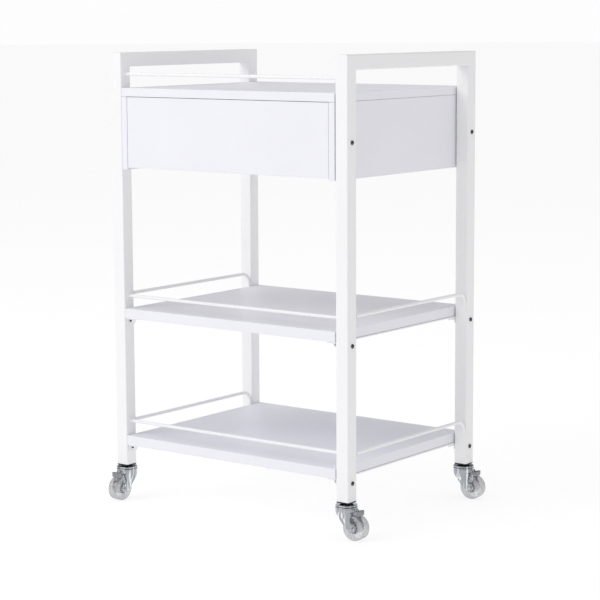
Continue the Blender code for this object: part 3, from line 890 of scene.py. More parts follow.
class Pattern:
    """A Geometry Nodes tree that repeats a shape, ending in Realize Instances and Set Material."""

    def __init__(self, name: str, sizes: dict[str, str]) -> None:
        """Start a tree.

        Args:
            name: the tree's name.
            sizes: its named inputs and their socket types.
        """
        self.tree = bpy.data.node_groups.new(name, "GeometryNodeTree")
        interface = self.tree.interface
        interface.new_socket("Geometry", in_out="OUTPUT", socket_type="NodeSocketGeometry")
        interface.new_socket("Geometry", in_out="INPUT", socket_type="NodeSocketGeometry")
        for label, kind in {**sizes, "Finish": "NodeSocketMaterial"}.items():
            interface.new_socket(label, in_out="INPUT", socket_type=kind)
        self.start = self.tree.nodes.new("NodeGroupInput")
        self.end = self.tree.nodes.new("NodeGroupOutput")

    def node(self, kind: str, settings: dict[str, Any], sockets: dict[str | int, Any]) -> Any:
        """Add a node.

        Args:
            kind: the node's type.
            settings: its properties, set first.
            sockets: values or sockets for its inputs, by name or number.

        Returns:
            The node.
        """
        node = self.tree.nodes.new(kind)
        for key, value in settings.items():
            setattr(node, key, value)
        for key, value in sockets.items():
            if isinstance(value, bpy.types.NodeSocket):
                self.tree.links.new(value, node.inputs[key])
            else:
                node.inputs[key].default_value = value
        return node

    def close(self, instances: bpy.types.NodeSocket) -> None:
        """End the tree: real geometry in the finish that its input names.

        Args:
            instances: the socket that gives the repeated shapes.
        """
        real = self.node("GeometryNodeRealizeInstances", {}, {0: instances})
        sockets = {"Geometry": real.outputs[0], "Material": self.start.outputs["Finish"]}
        dressed = self.node("GeometryNodeSetMaterial", {}, sockets)
        self.tree.links.new(dressed.outputs[0], self.end.inputs[0])

    def grow(self, seed: bpy.types.Mesh, values: dict[str, Any]) -> bpy.types.Mesh:
        """Run the tree.

        Args:
            seed: the mesh that the tree starts from.
            values: values of its named inputs.

        Returns:
            A plain mesh.
        """
        item = link(self.tree.name, seed)
        modifier = item.modifiers.new(self.tree.name, "NODES")
        modifier.node_group = self.tree
        for socket in self.tree.interface.items_tree:
            if socket.in_out == "INPUT" and socket.name in values:
                modifier[socket.identifier] = values[socket.name]
        return settled(item)


def scatter_pattern(name: str) -> Pattern:
    """Make a tree that sets one object at each point, turned to the point's facing attribute.

    Args:
        name: the tree's name.

    Returns:
        The tree, with inputs for the object and its scale.
    """
    pattern = Pattern(name, {"Shape": "NodeSocketObject", "Size": "NodeSocketFloat"})
    shape = pattern.node("GeometryNodeObjectInfo", {}, {"Object": pattern.start.outputs["Shape"]})
    facing = pattern.node(
        "GeometryNodeInputNamedAttribute", {"data_type": "FLOAT_VECTOR"}, {"Name": "facing"}
    )
    turn = pattern.node(
        "FunctionNodeAlignRotationToVector", {"axis": "Z"}, {"Vector": facing.outputs["Attribute"]}
    )
    points = pattern.node(
        "GeometryNodeInstanceOnPoints",
        {},
        {
            "Points": pattern.start.outputs["Geometry"],
            "Instance": shape.outputs["Geometry"],
            "Rotation": turn.outputs[0],
            "Scale": pattern.start.outputs["Size"],
        },
    )
    pattern.close(points.outputs[0])
    return pattern


def rib_pattern(name: str) -> Pattern:
    """Make a tree that stands ribs round a ring, each along its own radius.

    Args:
        name: the tree's name.

    Returns:
        The tree, with inputs for the ribs' count and size and the ring's radius.
    """
    sizes = {"Ribs": "NodeSocketInt", "Radius": "NodeSocketFloat", "Size": "NodeSocketVector"}
    pattern = Pattern(name, sizes)
    ring = pattern.node(
        "GeometryNodeMeshCircle",
        {},
        {"Vertices": pattern.start.outputs["Ribs"], "Radius": pattern.start.outputs["Radius"]},
    )
    rib = pattern.node("GeometryNodeMeshCube", {}, {"Size": pattern.start.outputs["Size"]})
    spot = pattern.node("GeometryNodeInputPosition", {}, {})
    turn = pattern.node(
        "FunctionNodeAlignRotationToVector", {"axis": "X"}, {"Vector": spot.outputs[0]}
    )
    points = pattern.node(
        "GeometryNodeInstanceOnPoints",
        {},
        {"Points": ring.outputs[0], "Instance": rib.outputs["Mesh"], "Rotation": turn.outputs[0]},
    )
    pattern.close(points.outputs[0])
    return pattern


def row_pattern(name: str) -> Pattern:
    """Make a tree that lays bars in a straight row.

    Args:
        name: the tree's name.

    Returns:
        The tree, with inputs for the bars' count and size and the step between them.
    """
    sizes = {"Bars": "NodeSocketInt", "Step": "NodeSocketVector", "Size": "NodeSocketVector"}
    pattern = Pattern(name, sizes)
    row = pattern.node(
        "GeometryNodeMeshLine",
        {"mode": "OFFSET"},
        {"Count": pattern.start.outputs["Bars"], "Offset": pattern.start.outputs["Step"]},
    )
    bar = pattern.node("GeometryNodeMeshCube", {}, {"Size": pattern.start.outputs["Size"]})
    sockets = {"Points": row.outputs[0], "Instance": bar.outputs["Mesh"]}
    points = pattern.node("GeometryNodeInstanceOnPoints", {}, sockets)
    pattern.close(points.outputs[0])
    return pattern


# ---------------------------------------------------------------- sub-assemblies


class Wardrobe:
    """The trolley's finishes, each made once."""

    def __init__(self) -> None:
        """Make every material."""
        kinds = (PowderCoat, Melamine, DrawerFoil, ZincPlate, RunnerSteel, BlackPlastic, ClearWheel)
        finishes = [kind() for kind in kinds] + [PedalSteel(), DarkScrew()]
        self.materials = {finish.slot: finish.make() for finish in finishes}
        self.core = MilkyCore().make()

    def dress(
        self, name: str, mesh: bpy.types.Mesh, slot: str, body: str, replaces: Sequence[str] = ()
    ) -> bpy.types.Object:
        """Place a piece in the finish of its slot; the values are those of place_piece."""
        return place_piece(name, mesh, self.materials[slot], body, replaces)

    def carry_over(self, node: str, slot: str) -> None:
        """Give a node of the frame its finish where its own shape is right."""
        for holder in frame["nodes"][node].material_slots:
            holder.material = self.materials[slot]


@dataclass(frozen=True)
class SideFrame:
    """One welded side: square tube in an inverted U, mitred at its corners, with two wires.

    The flare lists shares of the weld's length with the wire's scale there, and the tip lists
    places before the wire's end in the same way.
    """

    side: Side
    wall: float = 0.0012
    edge: float = 0.0020
    seam: float = 0.0005
    seam_scale: float = 0.990
    wire_radius: float = 0.003
    wire_rise: float = 0.0255
    wire_drop: float = 0.004
    wire_bend: float = 0.020
    wire_bend_steps: int = 12
    wire_tip: tuple[Point, ...] = ((-0.0008, 1.0), (-0.0002, 0.9), (0.0, 0.6))
    weld_length: float = 0.0022
    weld_flare: tuple[Point, ...] = ((0.0, 1.55), (0.3, 1.30), (0.65, 1.08), (1.0, 1.0))
    weld_depth: float = 0.0004
    hole_radius: float = 0.0023
    rod_hole_radius: float = 0.0033
    steps: int = 20

    def node(self) -> str:
        """Name the frame's node."""
        return f"{self.side.value}_side_frame"

    def tube(self) -> Shape:
        """Build the hollow tube with a fine seam at each mitre.

        Returns:
            The tube, in place.
        """
        low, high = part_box(self.node())
        half = (high.x - low.x) / 2
        front, rear, crown = low.y + half, high.y - half, high.z - half
        path = [(front, low.z), (front, crown), (rear, crown), (rear, low.z)]
        outer = [Mark(0)]
        for bend in (1, 2):
            outer += [Mark(bend, -self.seam), Mark(bend, 0.0, self.seam_scale)]
            outer.append(Mark(bend, self.seam))
        outer.append(Mark(3))
        x = low.x + half
        skin = bar_rings(x, path, rounded_square(half, self.edge), outer)
        bore = rounded_square(half - self.wall, self.edge - self.wall)
        skin += bar_rings(x, path, bore, [Mark(i) for i in (3, 2, 1, 0)])
        return Shape().loft(skin, cyclic=True)

    def holes(self) -> Shape:
        """Build the drills for the screws, and for the rods' ends in the front post.

        Returns:
            The drills, in place.
        """
        low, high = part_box(self.node())
        centre, width = (low.x + high.x) / 2, high.x - low.x
        inner = high.x if self.side is Side.LEFT else low.x
        drills = []
        for level in Level:
            for end in ("front", "rear"):
                first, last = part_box(f"{end}_{self.side.value}_{level.value}_screw")
                drills.append((centre, (first + last) / 2, self.hole_radius, width))
            first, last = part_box(f"{level.value}_front_rod")
            drills.append((inner, (first + last) / 2, self.rod_hole_radius, 4 * self.wall))
        tools = Shape()
        for x, middle, radius, length in drills:
            place = Matrix.Translation((x, middle.y, middle.z)) @ SIDEWAYS
            rim = circle(radius, self.steps)
            tools.loft([[place @ Vector((u, v, z)) for u, v in rim] for z in (-length, length)])
        return tools

    def wire(self, level: Level) -> Shape:
        """Build a side wire, straight back over its shelf and bent down at the rear post.

        Args:
            level: the shelf that it runs over.

        Returns:
            The wire, spread into its weld at each end.
        """
        low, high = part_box(self.node())
        half = (high.x - low.x) / 2
        shelf_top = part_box(f"{level.value}_shelf")[1].z
        rise, drop = shelf_top + self.wire_rise, shelf_top - self.wire_drop
        leg_y = high.y - 2 * half - self.wire_radius + self.weld_depth
        centre = (leg_y - self.wire_bend, rise - self.wire_bend)
        bend = arc(centre, self.wire_bend, 90, 0, self.wire_bend_steps)
        path = [(low.y + 2 * half - self.weld_depth, rise), *bend, (leg_y, drop)]
        marks = [Mark(0, share * self.weld_length, scale) for share, scale in self.weld_flare]
        marks += [Mark(i) for i in range(1, len(path) - 1)]
        last = len(path) - 1
        marks += [Mark(last, shift, scale) for shift, scale in self.wire_tip]
        section = circle(self.wire_radius, self.steps)
        return Shape().loft(bar_rings(high.x - self.wire_radius, path, section, marks))

    def build(self, wardrobe: Wardrobe) -> None:
        """Build and dress the side.

        Args:
            wardrobe: the finishes.
        """
        mesh = drilled(self.tube().mesh("tube"), self.holes())
        name = f"{self.side.value}_frame_tube"
        wardrobe.dress(name, mesh, "white_powder_coat", "trolley", [self.node()])
        for level in (Level.LOWER, Level.MIDDLE):
            name = f"{self.side.value}_{level.value}_wire"
            wardrobe.dress(name, self.wire(level).mesh(name), "white_powder_coat", "trolley")


@dataclass(frozen=True)
class FrontRods:
    """The straight rods between the front posts, each with a ring of weld at both posts.

    The flare lists shares of the weld's length with the rod's scale there.
    """

    weld_length: float = 0.0016
    flare: tuple[Point, ...] = ((0.0, 1.0), (0.02, 1.40), (0.35, 1.18), (0.7, 1.04), (1.0, 1.0))
    chamfer: float = 0.0005
    steps: int = 28

    def build(self, wardrobe: Wardrobe) -> None:
        """Build and dress the three rods.

        Args:
            wardrobe: the finishes.
        """
        inner_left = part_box("left_side_frame")[1].x
        inner_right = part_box("right_side_frame")[0].x
        for level in Level:
            node = f"{level.value}_front_rod"
            low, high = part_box(node)
            radius = (high.z - low.z) / 2
            halves = []
            for tip, post, way in ((low.x, inner_left, 1), (high.x, inner_right, -1)):
                part = [(radius - self.chamfer, tip), (radius, tip + way * self.chamfer)]
                reach = way * self.weld_length
                part += [(radius * scale, post + reach * share) for share, scale in self.flare]
                halves.append(part)
            profile = halves[0] + list(reversed(halves[1]))
            middle = (low + high) / 2
            shape = Shape().turn(profile, self.steps)
            shape.move(Matrix.Translation((0, middle.y, middle.z)) @ SIDEWAYS)
            name, mesh = f"{level.value}_rod", shape.mesh(node)
            wardrobe.dress(name, mesh, "white_powder_coat", "trolley", [node])


@dataclass(frozen=True)
class Boards:
    """The top board, the shelves, the drawer's box and the drawer: melamine with banded edges."""

    edge: float = 0.0008
    band: float = 0.0010
    score: float = 0.00008

    def build(self, wardrobe: Wardrobe) -> None:
        """Build and dress every board.

        Args:
            wardrobe: the finishes.
        """
        trolley = ["top_board", "middle_shelf", "lower_shelf"]
        trolley += ["box_left_side", "box_right_side", "box_back"]
        drawer = ["drawer_left_side", "drawer_right_side", "drawer_back", "drawer_bottom"]
        jobs = [(node, "white_board", "trolley") for node in trolley]
        jobs.append(("drawer_front", "white_board", "drawer"))
        jobs += [(node, "drawer_board", "drawer") for node in drawer]
        for node, slot, body in jobs:
            low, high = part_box(node)
            shape = Shape().box(low, high, self.edge).score(self.band, self.score)
            wardrobe.dress(f"{node}_panel", shape.mesh(node), slot, body, [node])


@dataclass(frozen=True)
class Supports:
    """The coated strips under the shelves, with screws up into the board and nuts at the posts.

    The screw's outline lists shares of its radius and its height.
    """

    screw_radius: float = 0.0030
    screw_height: float = 0.0009
    screw_outline: tuple[Point, ...] = (
        (1.0, 0.0),
        (1.0, 0.4),
        (0.8, 1.0),
        (0.35, 1.0),
        (0.22, 0.3),
    )
    screw_steps: int = 20
    screws: int = 4
    inset: float = 0.045
    clear_of_ear: float = 0.002
    below_board: float = 0.0023
    nut_radius: float = 0.0042
    nut_height: float = 0.0022
    nut_shoulder: float = 0.6  # share of its height
    nut_round: float = 0.2  # share of its radius
    nut_steps: int = 24

    def screw(self) -> Shape:
        """Build one flat screw head, facing +Z."""
        profile = [(u * self.screw_radius, v * self.screw_height) for u, v in self.screw_outline]
        return Shape().turn(profile, self.screw_steps)

    def nut(self) -> Shape:
        """Build one round-topped weld nut.

        Returns:
            The nut, facing +Z.
        """
        rim, shoulder = self.nut_radius, self.nut_height * self.nut_shoulder
        soft = rim * self.nut_round
        profile = [(rim, 0.0), (rim, shoulder), *arc((rim - soft, shoulder), soft, 30, 90, 4)]
        return Shape().turn([*profile, (soft, self.nut_height)], self.nut_steps)

    def build(self, wardrobe: Wardrobe) -> None:
        """Dress the strips, and add their screws and nuts by patterns.

        Args:
            wardrobe: the finishes.
        """
        places, nuts = [], []
        for level in (Level.LOWER, Level.MIDDLE):
            for side in Side:
                node = f"{level.value}_shelf_{side.value}_support"
                wardrobe.carry_over(node, "white_powder_coat")
                low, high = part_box(node)
                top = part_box(f"{level.value}_shelf")[0].z
                run = high.y - low.y - 2 * self.inset
                inward = 1 if side is Side.LEFT else -1
                x = (low.x + high.x) / 2 + inward * self.clear_of_ear
                for i in range(self.screws):
                    y = low.y + self.inset + run * i / (self.screws - 1)
                    places.append((Vector((x, y, top - self.below_board)), Vector((0, 0, -1))))
                for end in ("front", "rear"):
                    first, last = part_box(f"{end}_{side.value}_{level.value}_screw")
                    tip = last.x if side is Side.LEFT else first.x
                    spot = (first + last) / 2
                    nuts.append((Vector((tip, spot.y, spot.z)), Vector((inward, 0, 0))))
        mesh = scattered("strip_screws", places, self.screw(), wardrobe.materials["dark_screw"])
        wardrobe.dress("strip_screws", mesh, "dark_screw", "trolley")
        coat = wardrobe.materials["white_powder_coat"]
        mesh = scattered("weld_nuts", nuts, self.nut(), coat)
        wardrobe.dress("weld_nuts", mesh, "white_powder_coat", "trolley")


def scattered(
    name: str, places: Sequence[tuple[Vector, Vector]], shape: Shape, material: bpy.types.Material
) -> bpy.types.Mesh:
    """Set one shape at many places through a Geometry Nodes tree.

    Args:
        name: the tree's name.
        places: points and the directions that the shape's +Z faces there.
        shape: the shape to repeat.
        material: its finish.

    Returns:
        One plain mesh of all the copies.
    """
    seed = bpy.data.meshes.new(name)
    seed.from_pydata([spot for spot, _ in places], [], [])
    facing = seed.attributes.new("facing", "FLOAT_VECTOR", "POINT")
    facing.data.foreach_set("vector", [part for _, way in places for part in way])
    model = link(name + "_model", shape.mesh(name + "_model"))
    mesh = scatter_pattern(name).grow(seed, {"Shape": model, "Size": 1.0, "Finish": material})
    bpy.data.objects.remove(model)
    return mesh


@dataclass(frozen=True)
class PostScrews:
    """The dark screws through the posts: a low dome with a cross recess on a straight shank."""

    recess_reach: float = 0.62  # share of the head's radius
    recess_width: float = 0.00085
    recess_depth: float = 0.0012
    recess_floor: float = 0.55  # the cross's scale at its floor
    recess_mouth: float = 1.1  # and above the head
    recess_above: float = 0.001
    rim_share: float = 0.30
    crown_flat: float = 0.07
    seat_chamfer: Point = (0.0002, 0.00025)
    dome_steps: int = 6
    steps: int = 32
    shank: float = 0.0020
    thread_pitch: float = 0.0012
    thread_root: float = 0.84
    thread_flank: float = 0.0003
    point: Point = (0.2, 0.8)  # the tapered end's scales

    def screw(self, radius: float, height: float, length: float) -> Shape:
        """Build one screw.

        Args:
            radius: the head's radius.
            height: the head's height.
            length: the shank's length.

        Returns:
            The screw, its head's seat at the origin and its head towards +Z.
        """
        dome = arc((0, 0), 1.0, 86, 0, self.dome_steps)
        rim, shank = height * self.rim_share, self.shank
        profile = [(radius * max(u, self.crown_flat), rim + (height - rim) * v) for u, v in dome]
        across, up = self.seat_chamfer
        profile += [(radius, up), (radius - across, 0.0), (shank, 0.0)]
        turns = int((length - 2 * shank) / self.thread_pitch)
        for i in range(turns):
            z = -i * self.thread_pitch - shank / 2
            profile.append((shank * self.thread_root, z - self.thread_flank))
            profile.append((shank, z - self.thread_pitch / 2))
        tip, neck = self.point
        profile += [(shank * neck, -length + shank), (shank * tip, -length)]
        return Shape().turn(profile, self.steps)

    def recess_bar(self, radius: float, height: float, turn: float) -> Shape:
        """Build one tapered bar of the cross that the driver fits.

        Args:
            radius: the head's radius.
            height: the head's height.
            turn: the bar's turn about the screw's axis, in degrees.

        Returns:
            The bar, reaching from the recess's floor to above the head.
        """
        reach, half = radius * self.recess_reach, self.recess_width / 2
        spin = Matrix.Rotation(math.radians(turn), 3, "Z")
        floor = (height - self.recess_depth, self.recess_floor)
        mouth = (height + self.recess_above, self.recess_mouth)
        ends = []
        for z, scale in (floor, mouth):
            x, y = reach * scale, half * scale
            corners = ((-x, -y), (x, -y), (x, y), (-x, y))
            ends.append([spin @ Vector((u, v, z)) for u, v in corners])
        return Shape().loft(ends)

    def build(self, wardrobe: Wardrobe) -> None:
        """Build one screw, and repeat it at the twelve screw nodes.

        Args:
            wardrobe: the finishes.
        """
        nodes, places = [], []
        for corner in Corner:
            for level in Level:
                node = f"{corner.value}_{level.value}_screw"
                low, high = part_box(node)
                middle = (low + high) / 2
                outward = -1 if corner.value.endswith("left") else 1
                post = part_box(f"{corner.value.split('_')[1]}_side_frame")
                face = post[0 if outward < 0 else 1].x
                places.append((Vector((face, middle.y, middle.z)), Vector((outward, 0, 0))))
                nodes.append(node)
        low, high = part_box(nodes[0])
        radius = (high.z - low.z) / 2
        face = places[0][0].x
        head, length = face - low.x, high.x - face
        item = self.screw(radius, head, length).mesh("screw")
        for turn in (0, 90):
            item = drilled(item, self.recess_bar(radius, head, turn))
        shape = Shape()
        shape.bm.from_mesh(item)
        mesh = scattered("post_screws", places, shape, wardrobe.materials["dark_screw"])
        wardrobe.dress("post_screws", mesh, "dark_screw", "trolley", nodes)


@dataclass(frozen=True)
class Runners:
    """The drawer's runners: a rolled channel and tongue, with rivets.

    The rivet's outline lists shares of its radius with heights.
    """

    metal: float = 0.0012
    rivet_radius: float = 0.0024
    rivet_outline: tuple[Point, ...] = ((1.0, 0.0), (1.0, 0.0002), (0.8, 0.0005), (0.3, 0.0006))
    rivet_steps: int = 16
    rivets: int = 5
    inset: float = 0.030
    edge_inset: float = 0.0050

    def build(self, wardrobe: Wardrobe) -> None:
        """Dress the four runners, and rivet the channels by a pattern.

        Args:
            wardrobe: the finishes.
        """
        places = []
        for side in Side:
            wardrobe.carry_over(f"drawer_{side.value}_runner", "runner_steel")
            node = f"box_{side.value}_runner"
            wardrobe.carry_over(node, "runner_steel")
            low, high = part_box(node)
            inward = 1 if side is Side.LEFT else -1
            x = (low.x if side is Side.LEFT else high.x) + inward * self.metal
            run = high.y - low.y - 2 * self.inset
            for i in range(self.rivets):
                y = low.y + self.inset + run * i / (self.rivets - 1)
                for z in (low.z + self.edge_inset, high.z - self.edge_inset):
                    places.append((Vector((x, y, z)), Vector((inward, 0, 0))))
        outline = [(u * self.rivet_radius, z) for u, z in self.rivet_outline]
        head = Shape().turn(outline, self.rivet_steps)
        mesh = scattered("runner_rivets", places, head, wardrobe.materials["zinc_plate"])
        wardrobe.dress("runner_rivets", mesh, "zinc_plate", "trolley")


@dataclass(frozen=True)
class Leg:
    """A fork leg about the axle: its leading and trailing edges as (height, x) pairs."""

    metal: float = 0.0020
    gap: float = 0.0108
    boss: float = 0.0070
    below_crown: float = 0.0024
    crown_reach: float = 0.0187
    least_width: float = 0.0062
    swell_start: float = 0.004
    crowding: float = 1.25
    rows: int = 30
    columns: int = 14
    leading: tuple[Point, ...] = (
        (-0.0070, -0.0008),
        (-0.0063, -0.0040),
        (-0.0015, -0.0098),
        (0.0045, -0.0178),
        (0.0155, -0.0258),
        (0.0255, -0.0325),
    )
    leading_top: float = -0.0372
    trailing: tuple[Point, ...] = (
        (-0.0070, 0.0008),
        (-0.0061, 0.0034),
        (-0.0035, 0.0061),
        (0.0000, 0.0070),
        (0.0035, 0.0063),
        (0.0075, 0.0051),
        (0.0145, 0.0038),
        (0.0235, 0.0042),
    )
    trailing_bend: Point = (0.003, 0.0016)  # below the top, and x
    trailing_top: float = -0.0020

    def outer_half(self) -> float:
        """Return how far a leg's outer face stands from the fork's middle."""
        return self.gap + self.metal

    def shape(self, way: int, trail: float, axle: float, top: float) -> Shape:
        """Build the leg: round with the crown at its top, flat and narrow at the axle.

        Args:
            way: 1 for the leg on the fork's own +Y side, -1 for the other.
            trail: how far the axle stands behind the swivel's axis.
            axle: the axle's height.
            top: the height of the leg's upper edge.

        Returns:
            The leg, about the swivel's axis.
        """
        rise = top - axle
        bend_drop, bend_x = self.trailing_bend
        leading = [*self.leading, (rise, self.leading_top)]
        trailing = [*self.trailing, (rise - bend_drop, bend_x), (rise, self.trailing_top)]
        outer, inner = [], []
        for i in range(self.rows + 1):
            z = -self.boss + (rise + self.boss) * (i / self.rows) ** self.crowding
            first, last = eased(leading, z), eased(trailing, z)
            swell = max(0.0, min(1.0, (z - self.swell_start) / (rise - self.swell_start)))
            swell = swell * swell * (3 - 2 * swell)
            rows = ([], [])
            for j in range(self.columns + 1):
                x = first + (last - first) * j / self.columns + trail
                round_y = math.sqrt(max(self.crown_reach**2 - x**2, 0.0))
                flat_y = self.outer_half()
                y = flat_y + (max(round_y, self.least_width) - flat_y) * swell
                for row, depth in zip(rows, (0.0, self.metal)):
                    row.append(Vector((x, way * (y - depth), axle + z)))
            outer.append(rows[0])
            inner.append(rows[1])
        return Shape().slab(outer, inner)


@dataclass(frozen=True)
class Wheel:
    """A clear cast tyre on a milky core."""

    half: float = 0.0100
    shoulder: float = 0.0026
    tyre_bore: float = 0.0102
    axle_bore: float = 0.0033
    hub_half: float = 0.01025
    rim_half: float = 0.0084
    bore_lip: float = 0.0016
    hub_chamfer: float = 0.0003
    hub_sink: float = 0.0004
    slip: float = 0.0001
    rim_face: float = 0.0009
    shoulder_arc: tuple[float, float] = (84.0, 18.0)
    shoulder_steps: int = 9
    steps: int = 96
    core_steps: int = 64
    ribs: int = 9
    rib_radius: float = 0.0072
    rib_size: tuple[float, float, float] = (0.0036, 0.0009, 0.0150)
    crown: tuple[Point, ...] = ((0.00004, 0.0045), (0.0, 0.0012))  # below the tread, and height
    hollow: tuple[Point, ...] = (
        (0.0054, 0.0070),
        (0.0060, 0.0042),
        (0.0070, 0.0036),
        (0.0084, 0.0042),
        (0.0088, 0.0078),
    )

    def both_halves(self, upper: Sequence[Point], steps: int) -> Shape:
        """Turn a half profile and its mirror image into one ring.

        Args:
            upper: (radius, height) points from the bore outwards.
            steps: segments round the ring.

        Returns:
            The ring, with its axis along Z.
        """
        lower = [(radius, -height) for radius, height in reversed(upper)]
        return Shape().turn([*upper, *lower], steps, cyclic=True)

    def tyre(self, radius: float) -> Shape:
        """Build the tyre: a slightly crowned tread, round shoulders and softly hollow sides.

        Args:
            radius: the tread's radius.

        Returns:
            The tyre, with its axis along Z.
        """
        r, lip, bore = self.shoulder, self.bore_lip, self.tyre_bore
        upper = [(bore, self.half - lip), (bore + lip / 3, self.half - lip * 0.6)]
        upper += [(bore + 2 * lip, self.half - lip / 4), (radius - r - lip, self.half)]
        upper += arc((radius - r, self.half - r), r, *self.shoulder_arc, self.shoulder_steps)
        upper += [(radius - below, height) for below, height in self.crown]
        return self.both_halves(upper, self.steps)

    def core(self) -> Shape:
        """Build the core: hub, hollow web and rim inside the tyre.

        Returns:
            The core, with its axis along Z.
        """
        rim, face = self.tyre_bore - self.slip, self.hub_half
        hub_edge = self.axle_bore + self.bore_lip
        upper = [(self.axle_bore, face), (hub_edge - self.hub_chamfer, face)]
        upper += [(hub_edge + self.slip, face - self.hub_sink), *self.hollow]
        upper += [(rim - self.rim_face, self.rim_half), (rim, self.rim_half)]
        return self.both_halves(upper, self.core_steps)


@dataclass(frozen=True)
class Pedal:
    """A brake pedal: a ribbed wedge with a curled lip over the wheel, on a cross pin."""

    half: float = 0.0093
    edge: float = 0.0005
    pin_radius: float = 0.0015
    pin_reach: float = 0.0118
    pin_steps: int = 16
    middle: Point = (0.0025, 0.0255)
    outline: tuple[Point, ...] = (
        (-0.0050, 0.0238),
        (0.0000, 0.0235),
        (0.0050, 0.0229),
        (0.0094, 0.0214),
        (0.0100, 0.0213),
        (0.0107, 0.0286),
        (0.0103, 0.0294),
        (0.0092, 0.0298),
        (0.0040, 0.0284),
        (-0.0010, 0.0268),
        (-0.0046, 0.0262),
    )
    ribs: int = 6
    rib_step: float = 0.0018
    rib_slope: float = 0.316
    rib_size: tuple[float, float, float] = (0.0008, 0.0160, 0.0007)
    rib_start: Point = (-0.0012, 0.0267)

    def shape(self, trail: float, axle: float, pivot: tuple[float, float]) -> Shape:
        """Build the wedge and its pin.

        Args:
            trail: how far the axle stands behind the swivel's axis.
            axle: the axle's height.
            pivot: the pin's distance behind the swivel's axis, and its height.

        Returns:
            The pedal, about the swivel's axis.
        """
        centre, flush = Vector(self.middle), self.half - self.edge
        cuts = ((-self.half, self.edge), (-flush, 0.0), (flush, 0.0), (self.half, self.edge))
        flat = [Vector(point) for point in self.outline]
        rings = []
        for y, shrink in cuts:
            shrunk = [spot + (centre - spot).normalized() * shrink for spot in flat]
            rings.append([Vector((trail + spot.x, y, axle + spot.y)) for spot in shrunk])
        across, up = pivot
        pin = circle(self.pin_radius, self.pin_steps)
        reach = self.pin_reach
        ends = [[Vector((across + u, y, up + v)) for u, v in pin] for y in (-reach, reach)]
        return Shape().loft(rings).loft(ends)


